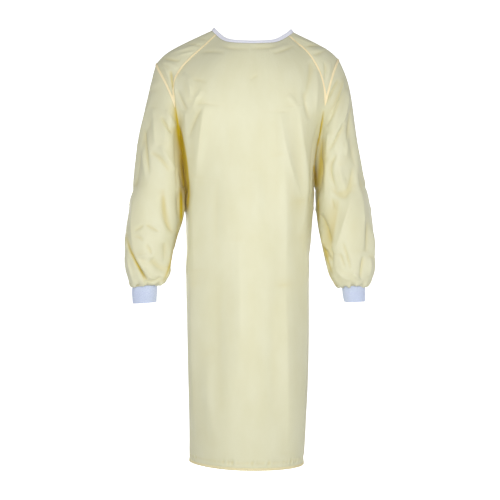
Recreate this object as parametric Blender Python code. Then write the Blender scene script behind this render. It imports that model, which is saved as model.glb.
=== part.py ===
"""Isolation gown in its worn form, with nobody in it: front, two overlapping backs, shoulder yokes,
raglan sleeves with knit cuffs, neck binding, hem facings, seam tapes and back ties.

The wearer's front faces -Y and the wearer's left side is at +X. The origin is between the two
points where the neck meets the shoulders. Tables are in millimetres, and the scene is in metres.
"""

import bpy
import numpy as np

MM = 0.001

# Driving dimensions of the cloth, in millimetres.
CLOTH = 1.2            # wall of the woven polyester
KNIT = 1.8             # wall of the rib-knit cuffs
BINDING_WALL = 1.6     # folded tape at the neck
BINDING_WIDTH = 11.0   # height of the neck binding
TAPE = 0.8             # thickness of hem facings and seam tapes
SEAM_HALF_GAP = 0.17   # each piece stops this far from the seam line
FOLD_START = 0.25      # sheets whose normals have a dot product under this count as folded
FOLD_SPAN = 0.5
VALLEY_START = 0.2     # walls part to their own normals from here to a valley this much narrower
VALLEY_SPAN = 0.4
APART_START = 0.5      # and where the panel's and the shared normal's dot product falls under this
APART_SPAN = 0.3
LEAST_MITRE = 0.7      # a mitre makes the wall no longer than one over this
LEAST_CORNER = 0.12    # and a sharp corner's edge moves in no further than one over this
SHARP_ANGLE = 50       # edges over this many degrees are shaded sharp
LAY_GAP = 0.35         # between a panel and what lies on it
HEM_TAPE_WIDTH = 7.0
SEAM_TAPE_NECK = 4.5   # width of the raglan tape at the neck
SEAM_TAPE_TIP = 8.5    # and at the yoke's tip
BACK_LAP_OFFSET = 3.4  # the left back lies this far over the right back
TIE_WIDTH = 12.0
TIE_WALL = 1.5
TAPE_INSET = 0.4       # a tape's edges are drawn in this much more than its cells

# How finely each seam is divided.
SKIRT_ROWS = 13
VALLEY_ROWS = 7
RAGLAN_SHARES = np.array([0.0, 0.16, 0.33, 0.50, 0.67, 0.82, 0.95, 1.0])
CAP_SHARES = np.array([0.0, 0.05, 0.24, 0.43, 0.62, 0.81, 1.0])
FRONT_HALF = 12
BACK_HALF = 10
BACK_LAP = 3           # columns either side of the centre back that both backs cover
SLEEVE_RINGS = np.array([0, 0.45, 0.95, 1.5, 2.1, 2.8, 3.5, 4.25, 5, 5.75, 6.5, 7.25, 8, 8.6,
                         9.1, 9.5, 9.85, 10.15, 10.5, 10.78, 11])
PINNED_RINGS = 3       # rings whose underarm points are held while the rest is smoothed
GATHER_RINGS = 6       # rings above the cuff that have twice the points, for the gathers
GATHERS = 11           # waves round each sleeve's end
GATHER_DEPTH = 2.8
GATHER_CROWDING = 0.8  # under 1, the waves are deepest nearer the cuff
GATHER_WANDER = ((2, 0.9, 1), (3, 0.5, 2))    # waves round, radians and offset by side

RIGHT, LEFT = -1, 1    # the wearer's sides
SIDES = ((RIGHT, "right"), (LEFT, "left"))
FRONT, BACK = -1, 1

# The nets in the order they are joined, which are tubes, and which run the other way round.
NETS = ("front", "back", "yoke_-1", "yoke_1", "sleeve_-1", "sleeve_1")
WRAPS = (False, False, False, False, True, True)
FLIPS = (False, True, False, True, False, True)


def table(names, *rows):
    """A table with named columns: {name: values down the rows}."""
    return dict(zip(names.split(), np.array(rows, float).T))


def points(rows):
    """The x, y, z columns of a table as an array of points."""
    return np.stack([rows["x"], rows["y"], rows["z"]], axis=1)


# Body below the arms. right_x and left_x are its sides seen from the front. A power over 1 pinches
# the section towards that side seam, and one under 1 squares it.
BODY = table(
    "z      right_x  left_x  side_y  front_y  back_y  right_power  left_power",
    (-1200, -167.0,  146.5,   0.0,   -135,    118,    1.30,        0.95),
    (-1133, -167.8,  153.0,   1.0,   -135,    118,    1.20,        0.95),
    (-1023, -168.5,  158.0,   2.0,   -134,    117,    1.10,        1.00),
    (-913,  -171.5,  160.8,   3.0,   -133,    116,    1.05,        1.00),
    (-803,  -174.5,  163.8,   4.0,   -132,    115,    1.00,        1.00),
    (-693,  -177.0,  163.3,   6.0,   -130,    113,    0.95,        1.00),
    (-583,  -175.0,  164.8,   9.0,   -128,    111,    0.92,        0.95),
    (-517,  -171.5,  169.5,  11.0,   -127,    110,    0.90,        0.92),
    (-420,  -174.5,  178.0,  12.0,   -125,    109,    0.90,        0.90),
)
HEM_Z = -1193.0
HEM_SLOPE = -0.0210    # the hem hangs a little lower on the wearer's left
HEM_ROW = 0.012        # the first row above the hem, as a share of the way to the underarm
MIDDLE_BLEND = 4       # how late the skirt's middle takes up the chest's depth

# Centre lines from the underarm row up to the neck seam.
CENTRE_FRONT = table("x y z", (1, -126, -455), (1, -129, -380), (2, -131, -300), (3, -129, -220),
                     (4, -121, -145), (5, -107, -95), (5, -88, -56))
CENTRE_BACK = table("x y z", (1, 109, -455), (1, 115, -370), (2, 119, -290), (3, 118, -210),
                    (4, 109, -140), (5, 92, -85), (6, 66, -43))

# Armhole and raglan seams, each from the underarm through the yoke's tip to the neck.
VALLEY_FRONT = {
    RIGHT: table("x y z", (-174.6, 12, -473), (-180, 0, -404), (-187, -18, -337),
                 (-195, -42, -272), (-201.4, -72, -220)),
    LEFT: table("x y z", (178, 12, -429), (180, -2, -380), (183, -20, -330),
                (190, -42, -271), (201.7, -72, -217)),
}
RAGLAN_FRONT = {
    RIGHT: table("x y z", (-201.4, -72, -220), (-206.5, -80, -183), (-204, -80, -157),
                 (-192.6, -73, -127), (-166, -64, -98), (-138, -53, -71), (-92, -27, -23.5)),
    LEFT: table("x y z", (201.7, -72, -217), (199.5, -78, -168), (188, -74, -130),
                (168, -64, -89), (139, -47, -56), (105, -28, -26.6)),
}
VALLEY_BACK = {
    RIGHT: table("x y z", (-174.6, 12, -473), (-183, 26, -404), (-190, 42, -337),
                 (-197, 60, -280), (-203, 82, -232)),
    LEFT: table("x y z", (178, 12, -429), (182, 24, -385), (187, 40, -332),
                (195, 60, -276), (203, 82, -229)),
}
RAGLAN_BACK = {
    RIGHT: table("x y z", (-203, 82, -232), (-205, 88, -192), (-196, 86, -152),
                 (-167, 74, -103), (-128, 51, -56), (-92, 27, -25)),
    LEFT: table("x y z", (203, 82, -229), (202, 88, -185), (190, 85, -144),
                (166, 73, -98), (136, 51, -58), (105, 27, -29)),
}
# Sleeve head seam, from the front tip over the shoulder to the back tip.
HEAD_FRONT = {
    RIGHT: table("x y z", (-201.4, -72, -220), (-214, -74, -184), (-227, -66, -157),
                 (-246, -46, -125), (-258, -24, -102), (-260, 0, -92)),
    LEFT: table("x y z", (201.7, -72, -217), (209, -75, -182), (217, -69, -152),
                (231, -46, -109), (242, -22, -88), (245, 0, -79)),
}
HEAD_BACK = {
    RIGHT: table("x y z", (-260, 0, -92), (-258, 26, -103), (-246, 52, -132),
                 (-229, 74, -172), (-215, 82, -202), (-203, 82, -232)),
    LEFT: table("x y z", (245, 0, -79), (243, 26, -91), (232, 52, -118),
                (219, 74, -163), (211, 82, -196), (203, 82, -229)),
}
SHOULDER_LINE = {
    RIGHT: table("x y z", (-106, 0, -6), (-133, 0, -17.5), (-163.6, 0, -33), (-210, 0, -55),
                 (-244, 0, -75), (-260, 0, -92)),
    LEFT: table("x y z", (120, 0, -10.5), (142, 0, -22), (165, 0, -33), (210, 0, -53.5),
                (233, 0, -68), (245, 0, -79)),
}
NECK_SEAM_FRONT = table("x y z", (-92, -27, -23.5), (-74.4, -52, -41), (-49.7, -74, -51),
                        (5, -88, -56), (41.6, -82, -54), (74.2, -62, -47.4), (105, -28, -26.6))
NECK_SEAM_BACK = table("x y z", (-92, 27, -25), (-74, 44, -37), (-42, 59, -42), (6, 66, -43),
                       (55, 59, -43), (87, 44, -39), (105, 27, -29))
NECK_SEAM_SIDE = {
    RIGHT: table("x y z", (-92, -27, -23.5), (-102, -14, -11.5), (-106, 0, -6),
                 (-102, 14, -12.5), (-92, 27, -25)),
    LEFT: table("x y z", (105, -28, -26.6), (116, -14, -15.5), (120, 0, -10.5),
                (116, 14, -17), (105, 27, -29)),
}
NECK_AXIS = np.array([6.0, -10.0])     # x, y that the binding leans towards
BINDING_LEAN = 0.62

# Sleeves, ring by ring from the armhole to the cuff: the outer and inner edge of each ring seen
# from the front, the middle of its depth, and how far it reaches forwards and backwards.
SLEEVE = {
    RIGHT: table(
        "outer_x  outer_z  inner_x  inner_z  mid_y  front  back",
        (-260,    -92,     -174.6,  -473,     5,    85,    88),
        (-274,    -150,    -179,    -499,     3,    88,    86),
        (-290,    -220,    -181,    -516,     0,    86,    82),
        (-304,    -297,    -185,    -529,    -3,    82,    78),
        (-314,    -374,    -190,    -541,    -6,    78,    74),
        (-323,    -448,    -196,    -555,   -10,    75,    70),
        (-333.5,  -515,    -203,    -577,   -14,    72,    67),
        (-343,    -572,    -208,    -605,   -18,    71,    64),
        (-342,    -620,    -213.5,  -637,   -20,    69,    62),
        (-337,    -664,    -220.5,  -673,   -22,    64,    58),
        (-328,    -700,    -232,    -698,   -23,    50,    46),
        (-321.5,  -711,    -254,    -702,   -24,    32,    30),
    ),
    LEFT: table(
        "outer_x  outer_z  inner_x  inner_z  mid_y  front  back",
        (245,     -79,     178,     -429,     5,    85,    88),
        (271,     -140,    182,     -452,     3,    88,    86),
        (282,     -205,    184,     -471,     0,    86,    82),
        (290.5,   -277,    185,     -489,    -3,    82,    78),
        (302,     -355,    185.5,   -508,    -6,    78,    74),
        (315.5,   -430,    186,     -528,   -10,    75,    70),
        (327.5,   -508,    189.5,   -562,   -14,    72,    67),
        (337,     -568,    197,     -602,   -18,    71,    64),
        (339.5,   -620,    206,     -645,   -20,    68,    61),
        (337,     -668,    218.5,   -684,   -22,    63,    56),
        (328,     -696,    237,     -710,   -23,    47,    44),
        (315,     -708,    251,     -706,   -24,    31,    29),
    ),
}
HEAD_KEEP_ACROSS = 5.0   # rings over which the armhole's own outline fades, seen from the front
HEAD_KEEP_DEPTH = 1.6    # and over which its depth fades
HEAD_KEEP_POWER = 1.5

CUFF = {
    RIGHT: table(
        "outer_x  outer_z  inner_x  inner_z  mid_y  front  back",
        (-321.5,  -711,    -254,    -702,   -24,    32,    30),
        (-322,    -722,    -253,    -714,   -24,    32,    30),
        (-321,    -742,    -254,    -737,   -25,    32,    30),
        (-320,    -756,    -255,    -752,   -26,    31,    29),
    ),
    LEFT: table(
        "outer_x  outer_z  inner_x  inner_z  mid_y  front  back",
        (315,     -708,    251,     -706,   -24,    31,    29),
        (314,     -718,    251.5,   -718,   -24,    31,    29),
        (314,     -738,    253.5,   -738,   -25,    31,    29),
        (314,     -750,    257,     -752,   -26,    30,    28),
    ),
}

# Soft folds. Each is a crease line seen from the front (side -1) or from behind (side 1), with
# how far it spreads to its left and right as seen in x, and how far it lifts off the panel.
FOLD_ENDS = 0.22       # share of its length over which a fold rises at each end
FOLD_FACING = 1.8      # over 1, a fold keeps its height until the cloth turns well away
FOLDS = table(
    "side  x0    z0     x1    z1     left  right  lift",
    (-1,  -126, -225,  -150, -470,   36,    9,    7.0),
    (-1,  -150, -470,  -158, -760,   28,   14,    5.0),
    (-1,    86, -235,   101, -560,   10,   28,    6.5),
    (-1,   101, -560,   112, -1180,  12,   32,    6.0),
    (-1,   137, -225,   150, -500,    9,   22,    5.0),
    (-1,   -92, -640,   -96, -1000,  22,   30,   -4.0),
    (-1,    30, -520,    40, -1100,  44,   44,    3.5),
    (-1,   -30, -700,   -40, -1150,  44,   44,    3.5),
    (-1,  -172, -150,  -168, -240,   13,   13,    4.5),
    (-1,  -186, -120,  -195, -200,   10,   10,    3.5),
    (-1,  -283, -250,  -268, -470,   17,   17,    5.0),
    (-1,  -300, -420,  -282, -640,   15,   24,    5.0),
    (-1,  -215, -400,  -232, -600,   17,   17,    5.0),
    (-1,   250, -170,   214, -330,   13,   15,    5.0),
    (-1,   272, -200,   228, -430,   14,   17,    6.5),
    (-1,   285, -330,   262, -640,   15,   22,    5.5),
    (-1,   214, -430,   240, -560,   15,   15,   -5.5),
    (1,   -130, -260,  -140, -1150,  26,   26,    6.0),
    (1,    120, -260,   128, -1150,  26,   26,    6.0),
    (1,    -60, -420,   -66, -1150,  24,   24,    3.5),
    (1,     60, -480,    62, -1150,  24,   24,    3.5),
    (1,   -275, -240,  -285, -600,   18,   18,    6.0),
    (1,   -228, -300,  -250, -620,   17,   17,    5.0),
    (1,    270, -220,   285, -600,   18,   18,    6.0),
    (1,    226, -280,   246, -620,   17,   17,    5.0),
)

# Ties at the back: the height of each knot, and how long its pieces are.
TIES = table(
    "z     strap_right  strap_left  tail_right  tail_left",
    (-56,  34,          16,         215,        190),
    (-560, 40,          26,         300,        275),
)
TIE_NAMES = ("neck", "waist")
KNOT_HALF = np.array([10.0, 5.5, 8.0])
KNOT_PAST_EDGE = 11.0  # the knot's middle is this far past the left back's free edge
KNOT_SQUARENESS = 0.75
TIE_TOUCH = 0.3        # gap between the knot and what comes out of it
TIE_PINCH = 0.6        # the ties' width where they enter the knot, as a share
TIE_SPREAD = 15.0      # how far the tails stand apart from the knot's middle once they hang
TAIL_STANDOFF = 3.2    # how far outside the left back they hang
SLOPE_CLOSING = 1.3    # the tails start this much nearer the knot where the back slopes
TIE_LIFT = 0.25        # more room under the straps, for the back's curve
TAIL_ROOT = 4.2        # how far from the knot's middle each tail comes out of it
TAIL_OPENING = 22.0    # length over which a tail opens to its full width
TAIL_CROWDING = 1.3    # over 1, a tail's points crowd towards the knot
STRAP_POINTS, TAIL_POINTS = 7, 12
KNOT_RINGS, KNOT_AROUND = 9, 12

MATERIALS = {
    "yellow_cloth": ((0.830, 0.795, 0.560), 0.62),
    "white_knit": ((0.760, 0.800, 0.900), 0.85),
    "peach_tape": ((0.900, 0.740, 0.480), 0.70),
}


def spline(keys, at):
    """Cubic Hermite curve through the rows of keys, which stand at 0, 1, 2 and so on."""
    keys = np.asarray(keys, float)
    slopes = np.gradient(keys, axis=0)
    low = np.clip(np.floor(at).astype(int), 0, len(keys) - 2)
    t = (np.asarray(at) - low)[:, None]
    return ((2 * t**3 - 3 * t**2 + 1) * keys[low] + (t**3 - 2 * t**2 + t) * slopes[low]
            + (3 * t**2 - 2 * t**3) * keys[low + 1] + (t**3 - t**2) * slopes[low + 1])


def along(keys, shares):
    """Points at these shares of the length of the curve through the keys."""
    fine = spline(keys, np.linspace(0, len(keys) - 1, 40 * len(keys)))
    length = np.concatenate([[0], np.cumsum(np.linalg.norm(np.diff(fine, axis=0), axis=1))])
    return np.stack([np.interp(np.asarray(shares) * length[-1], length, column)
                     for column in fine.T], axis=1)


def lookup(rows, name, z):
    """A column of the body table at height z."""
    return np.interp(z, rows["z"], rows[name])


def unit(vectors):
    length = np.linalg.norm(vectors, axis=-1, keepdims=True)
    return vectors / np.maximum(length, 1e-9)


def coons(bottom, top, start, end, u, v):
    """The patch between four edges: bottom and top run along u, start and end along v."""
    u = u[None, :, None]
    v = v[:, None, None]
    corners = ((1 - u) * (1 - v) * bottom[0] + u * (1 - v) * bottom[-1]
               + (1 - u) * v * top[0] + u * v * top[-1])
    return ((1 - v) * bottom[None] + v * top[None]
            + (1 - u) * start[:, None] + u * end[:, None] - corners)


def hem_z(x):
    return HEM_Z + HEM_SLOPE * x


def skirt_half(side, facing, columns):
    """Rows from the hem to the underarm, each from the side seam to the centre. Facing is -1 for
    the front. Every row is a quarter of an ellipse, pinched or squared by the table's power."""
    seam_x, power_name = ("right_x", "right_power") if side == RIGHT else ("left_x", "left_power")
    underarm = points(VALLEY_FRONT[side])[0]
    middle = points(CENTRE_FRONT if facing == FRONT else CENTRE_BACK)[0]
    shares = np.concatenate([[0], np.linspace(HEM_ROW, 1, SKIRT_ROWS)])
    angle = np.linspace(0, np.pi / 2, columns + 1)
    rows = []
    for share in shares:
        level = (1 - share) * HEM_Z + share * underarm[2]
        x_seam = underarm[0] if share == 1 else lookup(BODY, seam_x, level)
        x_mid = (lookup(BODY, "right_x", level) + lookup(BODY, "left_x", level)) / 2
        x_mid = (1 - share) * x_mid + share * middle[0]
        y_seam = lookup(BODY, "side_y", level)
        late = share**MIDDLE_BLEND
        y_mid = lookup(BODY, "front_y" if facing == FRONT else "back_y", level)
        y_mid = (1 - late) * y_mid + late * middle[1]
        power = lookup(BODY, power_name, level)
        x = x_mid + (x_seam - x_mid) * np.cos(angle)
        y = y_seam + (y_mid - y_seam) * np.sin(angle) ** power
        top = underarm[2] + (middle[2] - underarm[2]) * np.sin(angle)
        rows.append(np.stack([x, y, (1 - share) * hem_z(x) + share * top], axis=1))
    return np.array(rows)


def upper_half(side, facing, columns, underarm_row):
    """Rows from the underarm to the neck seam, each from the armhole or raglan to the centre."""
    valley, raglan, centre, neck = (
        (VALLEY_FRONT, RAGLAN_FRONT, CENTRE_FRONT, NECK_SEAM_FRONT) if facing == FRONT
        else (VALLEY_BACK, RAGLAN_BACK, CENTRE_BACK, NECK_SEAM_BACK))
    seam = np.concatenate([
        along(points(valley[side]), np.linspace(0, 1, VALLEY_ROWS + 1)),
        along(points(raglan[side]), 1 - RAGLAN_SHARES[::-1])[1:]])
    seam_length = np.cumsum(np.linalg.norm(np.diff(seam, axis=0), axis=1))
    v = np.concatenate([[0], seam_length / seam_length[-1]])
    middle = along(points(centre), v)
    neck_keys = points(neck)
    half = 1 + len(neck_keys) // 2
    top_keys = neck_keys[:half] if side == RIGHT else neck_keys[::-1][:half]
    u = np.linspace(0, 1, columns + 1)
    return coons(underarm_row, along(top_keys, u), seam, middle, u, v)


def body_grid(facing, columns):
    """The whole front or back: rows from hem to neck, columns from the right seam to the left."""
    halves = []
    for side in (RIGHT, LEFT):
        skirt = skirt_half(side, facing, columns)
        upper = upper_half(side, facing, columns, skirt[-1])
        halves.append(np.concatenate([skirt, upper[1:]]))
    right, left = halves
    right[:, -1] = left[:, -1] = (right[:, -1] + left[:, -1]) / 2
    return np.concatenate([right, left[:, -2::-1]], axis=1)


def yoke_grid(side):
    """Rows from the neck to the sleeve head, columns from the front raglan to the back raglan."""
    shoulder = along(points(SHOULDER_LINE[side]), RAGLAN_SHARES)
    side_keys = points(NECK_SEAM_SIDE[side])
    top = len(side_keys) // 2
    front = coons(along(side_keys[:top + 1], CAP_SHARES),
                  along(points(HEAD_FRONT[side]), CAP_SHARES),
                  along(points(RAGLAN_FRONT[side])[::-1], RAGLAN_SHARES), shoulder,
                  CAP_SHARES, RAGLAN_SHARES)
    back = coons(along(side_keys[top:][::-1], CAP_SHARES),
                 along(points(HEAD_BACK[side])[::-1], CAP_SHARES),
                 along(points(RAGLAN_BACK[side])[::-1], RAGLAN_SHARES), shoulder,
                 CAP_SHARES, RAGLAN_SHARES)
    return np.concatenate([front, back[:, -2::-1]], axis=1)


def ring(row, count):
    """One sleeve or cuff section: an ellipse through its inner edge, front, outer edge and back."""
    outer = np.array([row["outer_x"], 0, row["outer_z"]])
    inner = np.array([row["inner_x"], 0, row["inner_z"]])
    angle = np.linspace(0, 2 * np.pi, count, endpoint=False)
    depth = np.where(np.sin(angle) > 0, -row["front"], row["back"]) * np.abs(np.sin(angle))
    section = (outer + inner) / 2 + np.outer(np.cos(angle), (inner - outer) / 2)
    section[:, 1] = row["mid_y"] + depth
    return section


def ring_rows(rows, at):
    """The table's columns read between its rows, one dictionary a ring."""
    names = list(rows)
    values = spline(np.stack([rows[name] for name in names], axis=1), at)
    return [dict(zip(names, value)) for value in values]


def sleeve_grid(side, armhole):
    """Rings from the armhole to the cuff. The armhole's own outline fades out down the sleeve."""
    count = len(armhole)
    rows = ring_rows(SLEEVE[side], SLEEVE_RINGS)
    rings = [ring(row, count) for row in rows]
    extra = armhole - rings[0]
    for index, at in enumerate(SLEEVE_RINGS):
        keep_across = max(0.0, 1 - at / HEAD_KEEP_ACROSS) ** HEAD_KEEP_POWER
        keep_depth = max(0.0, 1 - at / HEAD_KEEP_DEPTH) ** HEAD_KEEP_POWER
        rings[index] = rings[index] + extra * np.array([keep_across, keep_depth, keep_across])
    return np.array(rings)


def armhole_ring(front, back, yoke, side):
    """The closed armhole: up the front from the underarm, over the sleeve head, down the back."""
    column = 0 if side == RIGHT else -1
    first = SKIRT_ROWS
    tip = first + VALLEY_ROWS
    return np.concatenate([front[first:tip, column], yoke[-1], back[tip - 1:first:-1, column]])


def cuff_grid(side, count):
    keys = CUFF[side]
    return np.array([ring(row, count) for row in ring_rows(keys, np.arange(len(keys["mid_y"])))])


def split(faces, vertices):
    """Three-sided faces: each four-sided one is cut along its shorter diagonal."""
    cut = []
    for face in faces:
        face = tuple(int(i) for i in face)
        if len(face) == 3:
            cut.append(face)
            continue
        a, b, c, d = face
        first = (np.linalg.norm(vertices[a] - vertices[c])
                 <= np.linalg.norm(vertices[b] - vertices[d]))
        cut += [(a, b, c), (a, c, d)] if first else [(b, c, d), (b, d, a)]
    return cut


def quads(rows, columns, wrap=False):
    """Faces of a grid whose points are stored row after row."""
    across = np.arange(columns if wrap else columns - 1)
    low = (np.arange(rows - 1) * columns)[:, None]
    first, second = low + across, low + (across + 1) % columns
    return np.stack([first, second, second + columns, first + columns], axis=2).reshape(-1, 4)


def flip(faces):
    return faces[:, ::-1]


def net_faces(grid, wrap=False, turned=False):
    """Faces of a grid of points, with the other side out where turned."""
    faces = quads(*grid.shape[:2], wrap)
    return flip(faces) if turned else faces


def weld(surfaces):
    """(index of each surface's points in one shared list, the shared points)."""
    stacked = np.concatenate([s.reshape(-1, 3) for s in surfaces])
    _, first, index = np.unique(np.round(stacked, 3), axis=0, return_index=True,
                                return_inverse=True)
    return np.split(index.reshape(-1), np.cumsum([s.size // 3 for s in surfaces])[:-1]), \
        stacked[first]


def fair(grids, wraps, pins, rounds=6, inward=0.5, outward=-0.52):
    """Smooths all the panels together across their seams, with the free edges and the pinned
    points held. Each round moves every point towards the middle of its neighbours and then
    nearly as far back, which takes out kinks and keeps the size."""
    index, shared = weld(grids)
    faces = np.concatenate([i[net_faces(g, w)] for i, g, w in zip(index, grids, wraps)])
    ends = np.concatenate([faces[:, [k, (k + 1) % 4]] for k in range(4)])
    ends = np.sort(ends[ends[:, 0] != ends[:, 1]], axis=1)
    edges, uses = np.unique(ends, axis=0, return_counts=True)
    held = np.zeros(len(shared), bool)
    for i, pin in zip(index, pins):
        held[i[pin.reshape(-1)]] = True
    held[edges[uses == 1].reshape(-1)] = True
    both = np.concatenate([edges, edges[:, ::-1]])
    count = np.bincount(both[:, 0], minlength=len(shared))[:, None]
    for _ in range(rounds):
        for step in (inward, outward):
            total = np.zeros_like(shared)
            np.add.at(total, both[:, 0], shared[both[:, 1]])
            move = step * (total / np.maximum(count, 1) - shared)
            move[held] = 0
            shared = shared + move
    return [shared[i].reshape(g.shape) for i, g in zip(index, grids)]


class Panel:
    """A sheet of cloth: points in millimetres and faces, before it has a thickness."""

    def __init__(self, name, vertices, faces):
        self.name = name
        self.columns = vertices.shape[-2]
        self.vertices = vertices.reshape(-1, 3).copy()
        self.faces = split(faces, self.vertices)
        self.own = self.own_normals()
        self.normals = self.own.copy()
        self.depth = self.own.copy()
        self.own_share = np.zeros((len(self.vertices), 1))
        self.sheet = "body" if name.startswith(("front", "back")) else name

    def own_normals(self):
        """Point normals, each the sum of its faces' areas times directions, made unit length."""
        total = np.zeros_like(self.vertices)
        corners = self.vertices[np.array(self.faces)]
        normals = np.cross(corners[:, 1] - corners[:, 0], corners[:, 2] - corners[:, 0])
        for k in range(3):
            np.add.at(total, np.array(self.faces)[:, k], normals)
        return unit(total)

    def edge_pairs(self):
        """Point pairs along the free edges, in the order their faces turn."""
        used = {(face[k], face[(k + 1) % 3]) for face in self.faces for k in range(3)}
        return sorted((a, b) for a, b in used if (b, a) not in used)

    def ways_in(self, normals):
        """For each point on an edge, the way into the panel across these normals, so long that
        both edges meeting there move in by one unit. Zero at the other points."""
        following = dict(self.edge_pairs())
        ways = np.zeros_like(self.vertices)
        before = {b: a for a, b in following.items()}
        for point, after in following.items():
            pair = [unit(np.cross(normals[point], self.vertices[end] - self.vertices[start]))
                    for start, end in ((before[point], point), (point, after))]
            corner = max(1 + float(pair[0] @ pair[1]), LEAST_CORNER)
            ways[point] = (pair[0] + pair[1]) / corner
        return ways


def share_normals(panels):
    """Gives the points that panels share along a seam one normal, so that their walls meet
    there. The front and the backs count as one sheet. Where two sheets fold back on each other,
    their normals cancel out, so the way into the sheets counts too. The wall's depth follows the
    shared normal, longer by the mitre of the fold's angle, but in a narrow valley it follows
    each panel's own normal, since both walls have room there."""
    index, shared = weld([p.vertices for p in panels])
    sheets = sorted({p.sheet for p in panels})
    sums = {key: np.zeros((len(sheets), *shared.shape)) for key in ("normal", "way")}
    for panel, at in zip(panels, index):
        row = sheets.index(panel.sheet)
        np.add.at(sums["normal"][row], at, panel.own)
        np.add.at(sums["way"][row], at, unit(panel.ways_in(panel.own)))
    normals, ways = unit(sums["normal"]), unit(sums["way"])
    members = np.maximum(np.linalg.norm(normals, axis=2).round().sum(axis=0), 1)
    least = np.ones(len(shared))
    for row, other in ((i, j) for i in range(len(sheets)) for j in range(i)):
        both = np.all(np.linalg.norm(normals[[row, other]], axis=2) > 0.5, axis=0)
        dot = np.sum(normals[row] * normals[other], axis=1)
        least = np.where(both, np.minimum(least, dot), least)
    folded = np.clip((FOLD_START - least) / FOLD_SPAN, 0, 1)[:, None]
    total = normals.sum(axis=0)
    length = np.linalg.norm(total, axis=1) / members
    together = unit(total + ways.sum(axis=0) * folded)
    for panel, at in zip(panels, index):
        panel.own = normals[sheets.index(panel.sheet)][at]
        panel.normals = together[at]
        valley = np.sum(unit(panel.ways_in(panel.own)) * panel.normals, axis=1)
        facing = np.sum(panel.own * panel.normals, axis=1)
        own_share = np.maximum((valley - VALLEY_START) / VALLEY_SPAN,
                               (APART_START - facing) / APART_SPAN)
        panel.own_share = np.clip(own_share, 0, 1)[:, None]
        mitred = panel.normals / np.clip(length[at], LEAST_MITRE, 1)[:, None]
        panel.depth = mitred * (1 - panel.own_share) + panel.own * panel.own_share


def fold_lift(vertices, normals):
    """How far the soft folds lift each point: a rounded ridge along each crease line, which
    fades at both ends and where the cloth turns away from that side."""
    lift = np.zeros(len(vertices))
    for row in zip(*FOLDS.values()):
        side, x0, z0, x1, z1, left, right, height = row
        way = np.array([x1 - x0, z1 - z0])
        offset = vertices[:, [0, 2]] - (x0, z0)
        share = offset @ way / (way @ way)
        across = offset[:, 0] - share * way[0]
        width = np.where(across < 0, left, right)
        ends = np.clip(share / FOLD_ENDS, 0, 1) * np.clip((1 - share) / FOLD_ENDS, 0, 1)
        ends = ends * ends * (3 - 2 * ends)
        facing = np.clip(side * normals[:, 1] * FOLD_FACING, 0, 1)
        lift += height * np.exp(-(across / width) ** 2) * ends * facing
    return lift


def solid(panel, wall, outset=0.0, inset=SEAM_HALF_GAP):
    """(points, faces) of the closed wall of a panel. Its outer face lies outset beyond the
    panel's points, and every edge is drawn in by the seam's half gap."""
    moves = np.zeros_like(panel.vertices)
    if inset:
        moves = inset * (panel.ways_in(panel.normals)
                         + panel.ways_in(panel.own) * panel.own_share)
    outer = panel.vertices + panel.depth * outset + moves
    inner = panel.vertices + panel.depth * (outset - wall) + moves
    count = len(outer)
    rims = [(b, a, a + count, b + count) for a, b in panel.edge_pairs()]
    inside = [tuple(i + count for i in reversed(face)) for face in panel.faces]
    return np.concatenate([outer, inner]), panel.faces + inside + rims


def material(name):
    found = bpy.data.materials.get(name)
    if found:
        return found
    colour, roughness = MATERIALS[name]
    made = bpy.data.materials.new(name)
    made.use_nodes = True
    shader = made.node_tree.nodes["Principled BSDF"]
    shader.inputs["Base Color"].default_value = (*colour, 1)
    shader.inputs["Roughness"].default_value = roughness
    shader.inputs["Metallic"].default_value = 0.0
    made.diffuse_color = (*colour, 1)
    return made


def add_object(name, vertices, faces, finish):
    """One sub-part, with its origin at its middle."""
    middle = (vertices.min(axis=0) + vertices.max(axis=0)) / 2
    mesh = bpy.data.meshes.new(name)
    mesh.from_pydata(((vertices - middle) * MM).tolist(), [], [list(map(int, f)) for f in faces])
    mesh.validate()
    mesh.shade_smooth()
    mesh.set_sharp_from_angle(angle=np.radians(SHARP_ANGLE))
    made = bpy.data.objects.new(name, mesh)
    made.location = middle * MM
    made.data.materials.append(material(finish))
    bpy.context.scene.collection.objects.link(made)
    return made


def tape_cells(panel, keep, name):
    """The cells of a panel that a tape lies on, with the panel's own points and normals."""
    faces = [face for face, kept in zip(panel.faces, np.repeat(keep, 2)) if kept]
    used = sorted({i for face in faces for i in face})
    place = {old: new for new, old in enumerate(used)}
    tape = Panel(name, panel.vertices[used], [tuple(place[i] for i in face) for face in faces])
    tape.normals = panel.normals[used]
    tape.depth = panel.depth[used]
    return tape


def double_rings(grid, last):
    """Sleeve faces and points: the last rings have twice the points of the others, read off a
    smooth curve round each, and one row of three-sided faces joins the two parts."""
    upper = grid[:-last]
    count = grid.shape[1]
    around = np.arange(2 * count) / 2
    lower = []
    for section in grid[-last:]:
        closed = np.concatenate([section[-2:], section, section[:3]])
        lower.append(spline(closed, around + 2))
    lower = np.array(lower)
    base = upper.size // 3
    faces = [tuple(f) for f in quads(len(upper), count, wrap=True)]
    start = base - count
    for k in range(count):
        a, b = start + k, start + (k + 1) % count
        c, d, e = base + 2 * k, base + 2 * k + 1, base + (2 * k + 2) % (2 * count)
        faces += [(a, d, c), (a, b, d), (b, e, d)]
    faces += [tuple(f + base) for f in quads(last, 2 * count, wrap=True)]
    return np.concatenate([upper.reshape(-1, 3), lower.reshape(-1, 3)]), faces, base


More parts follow.
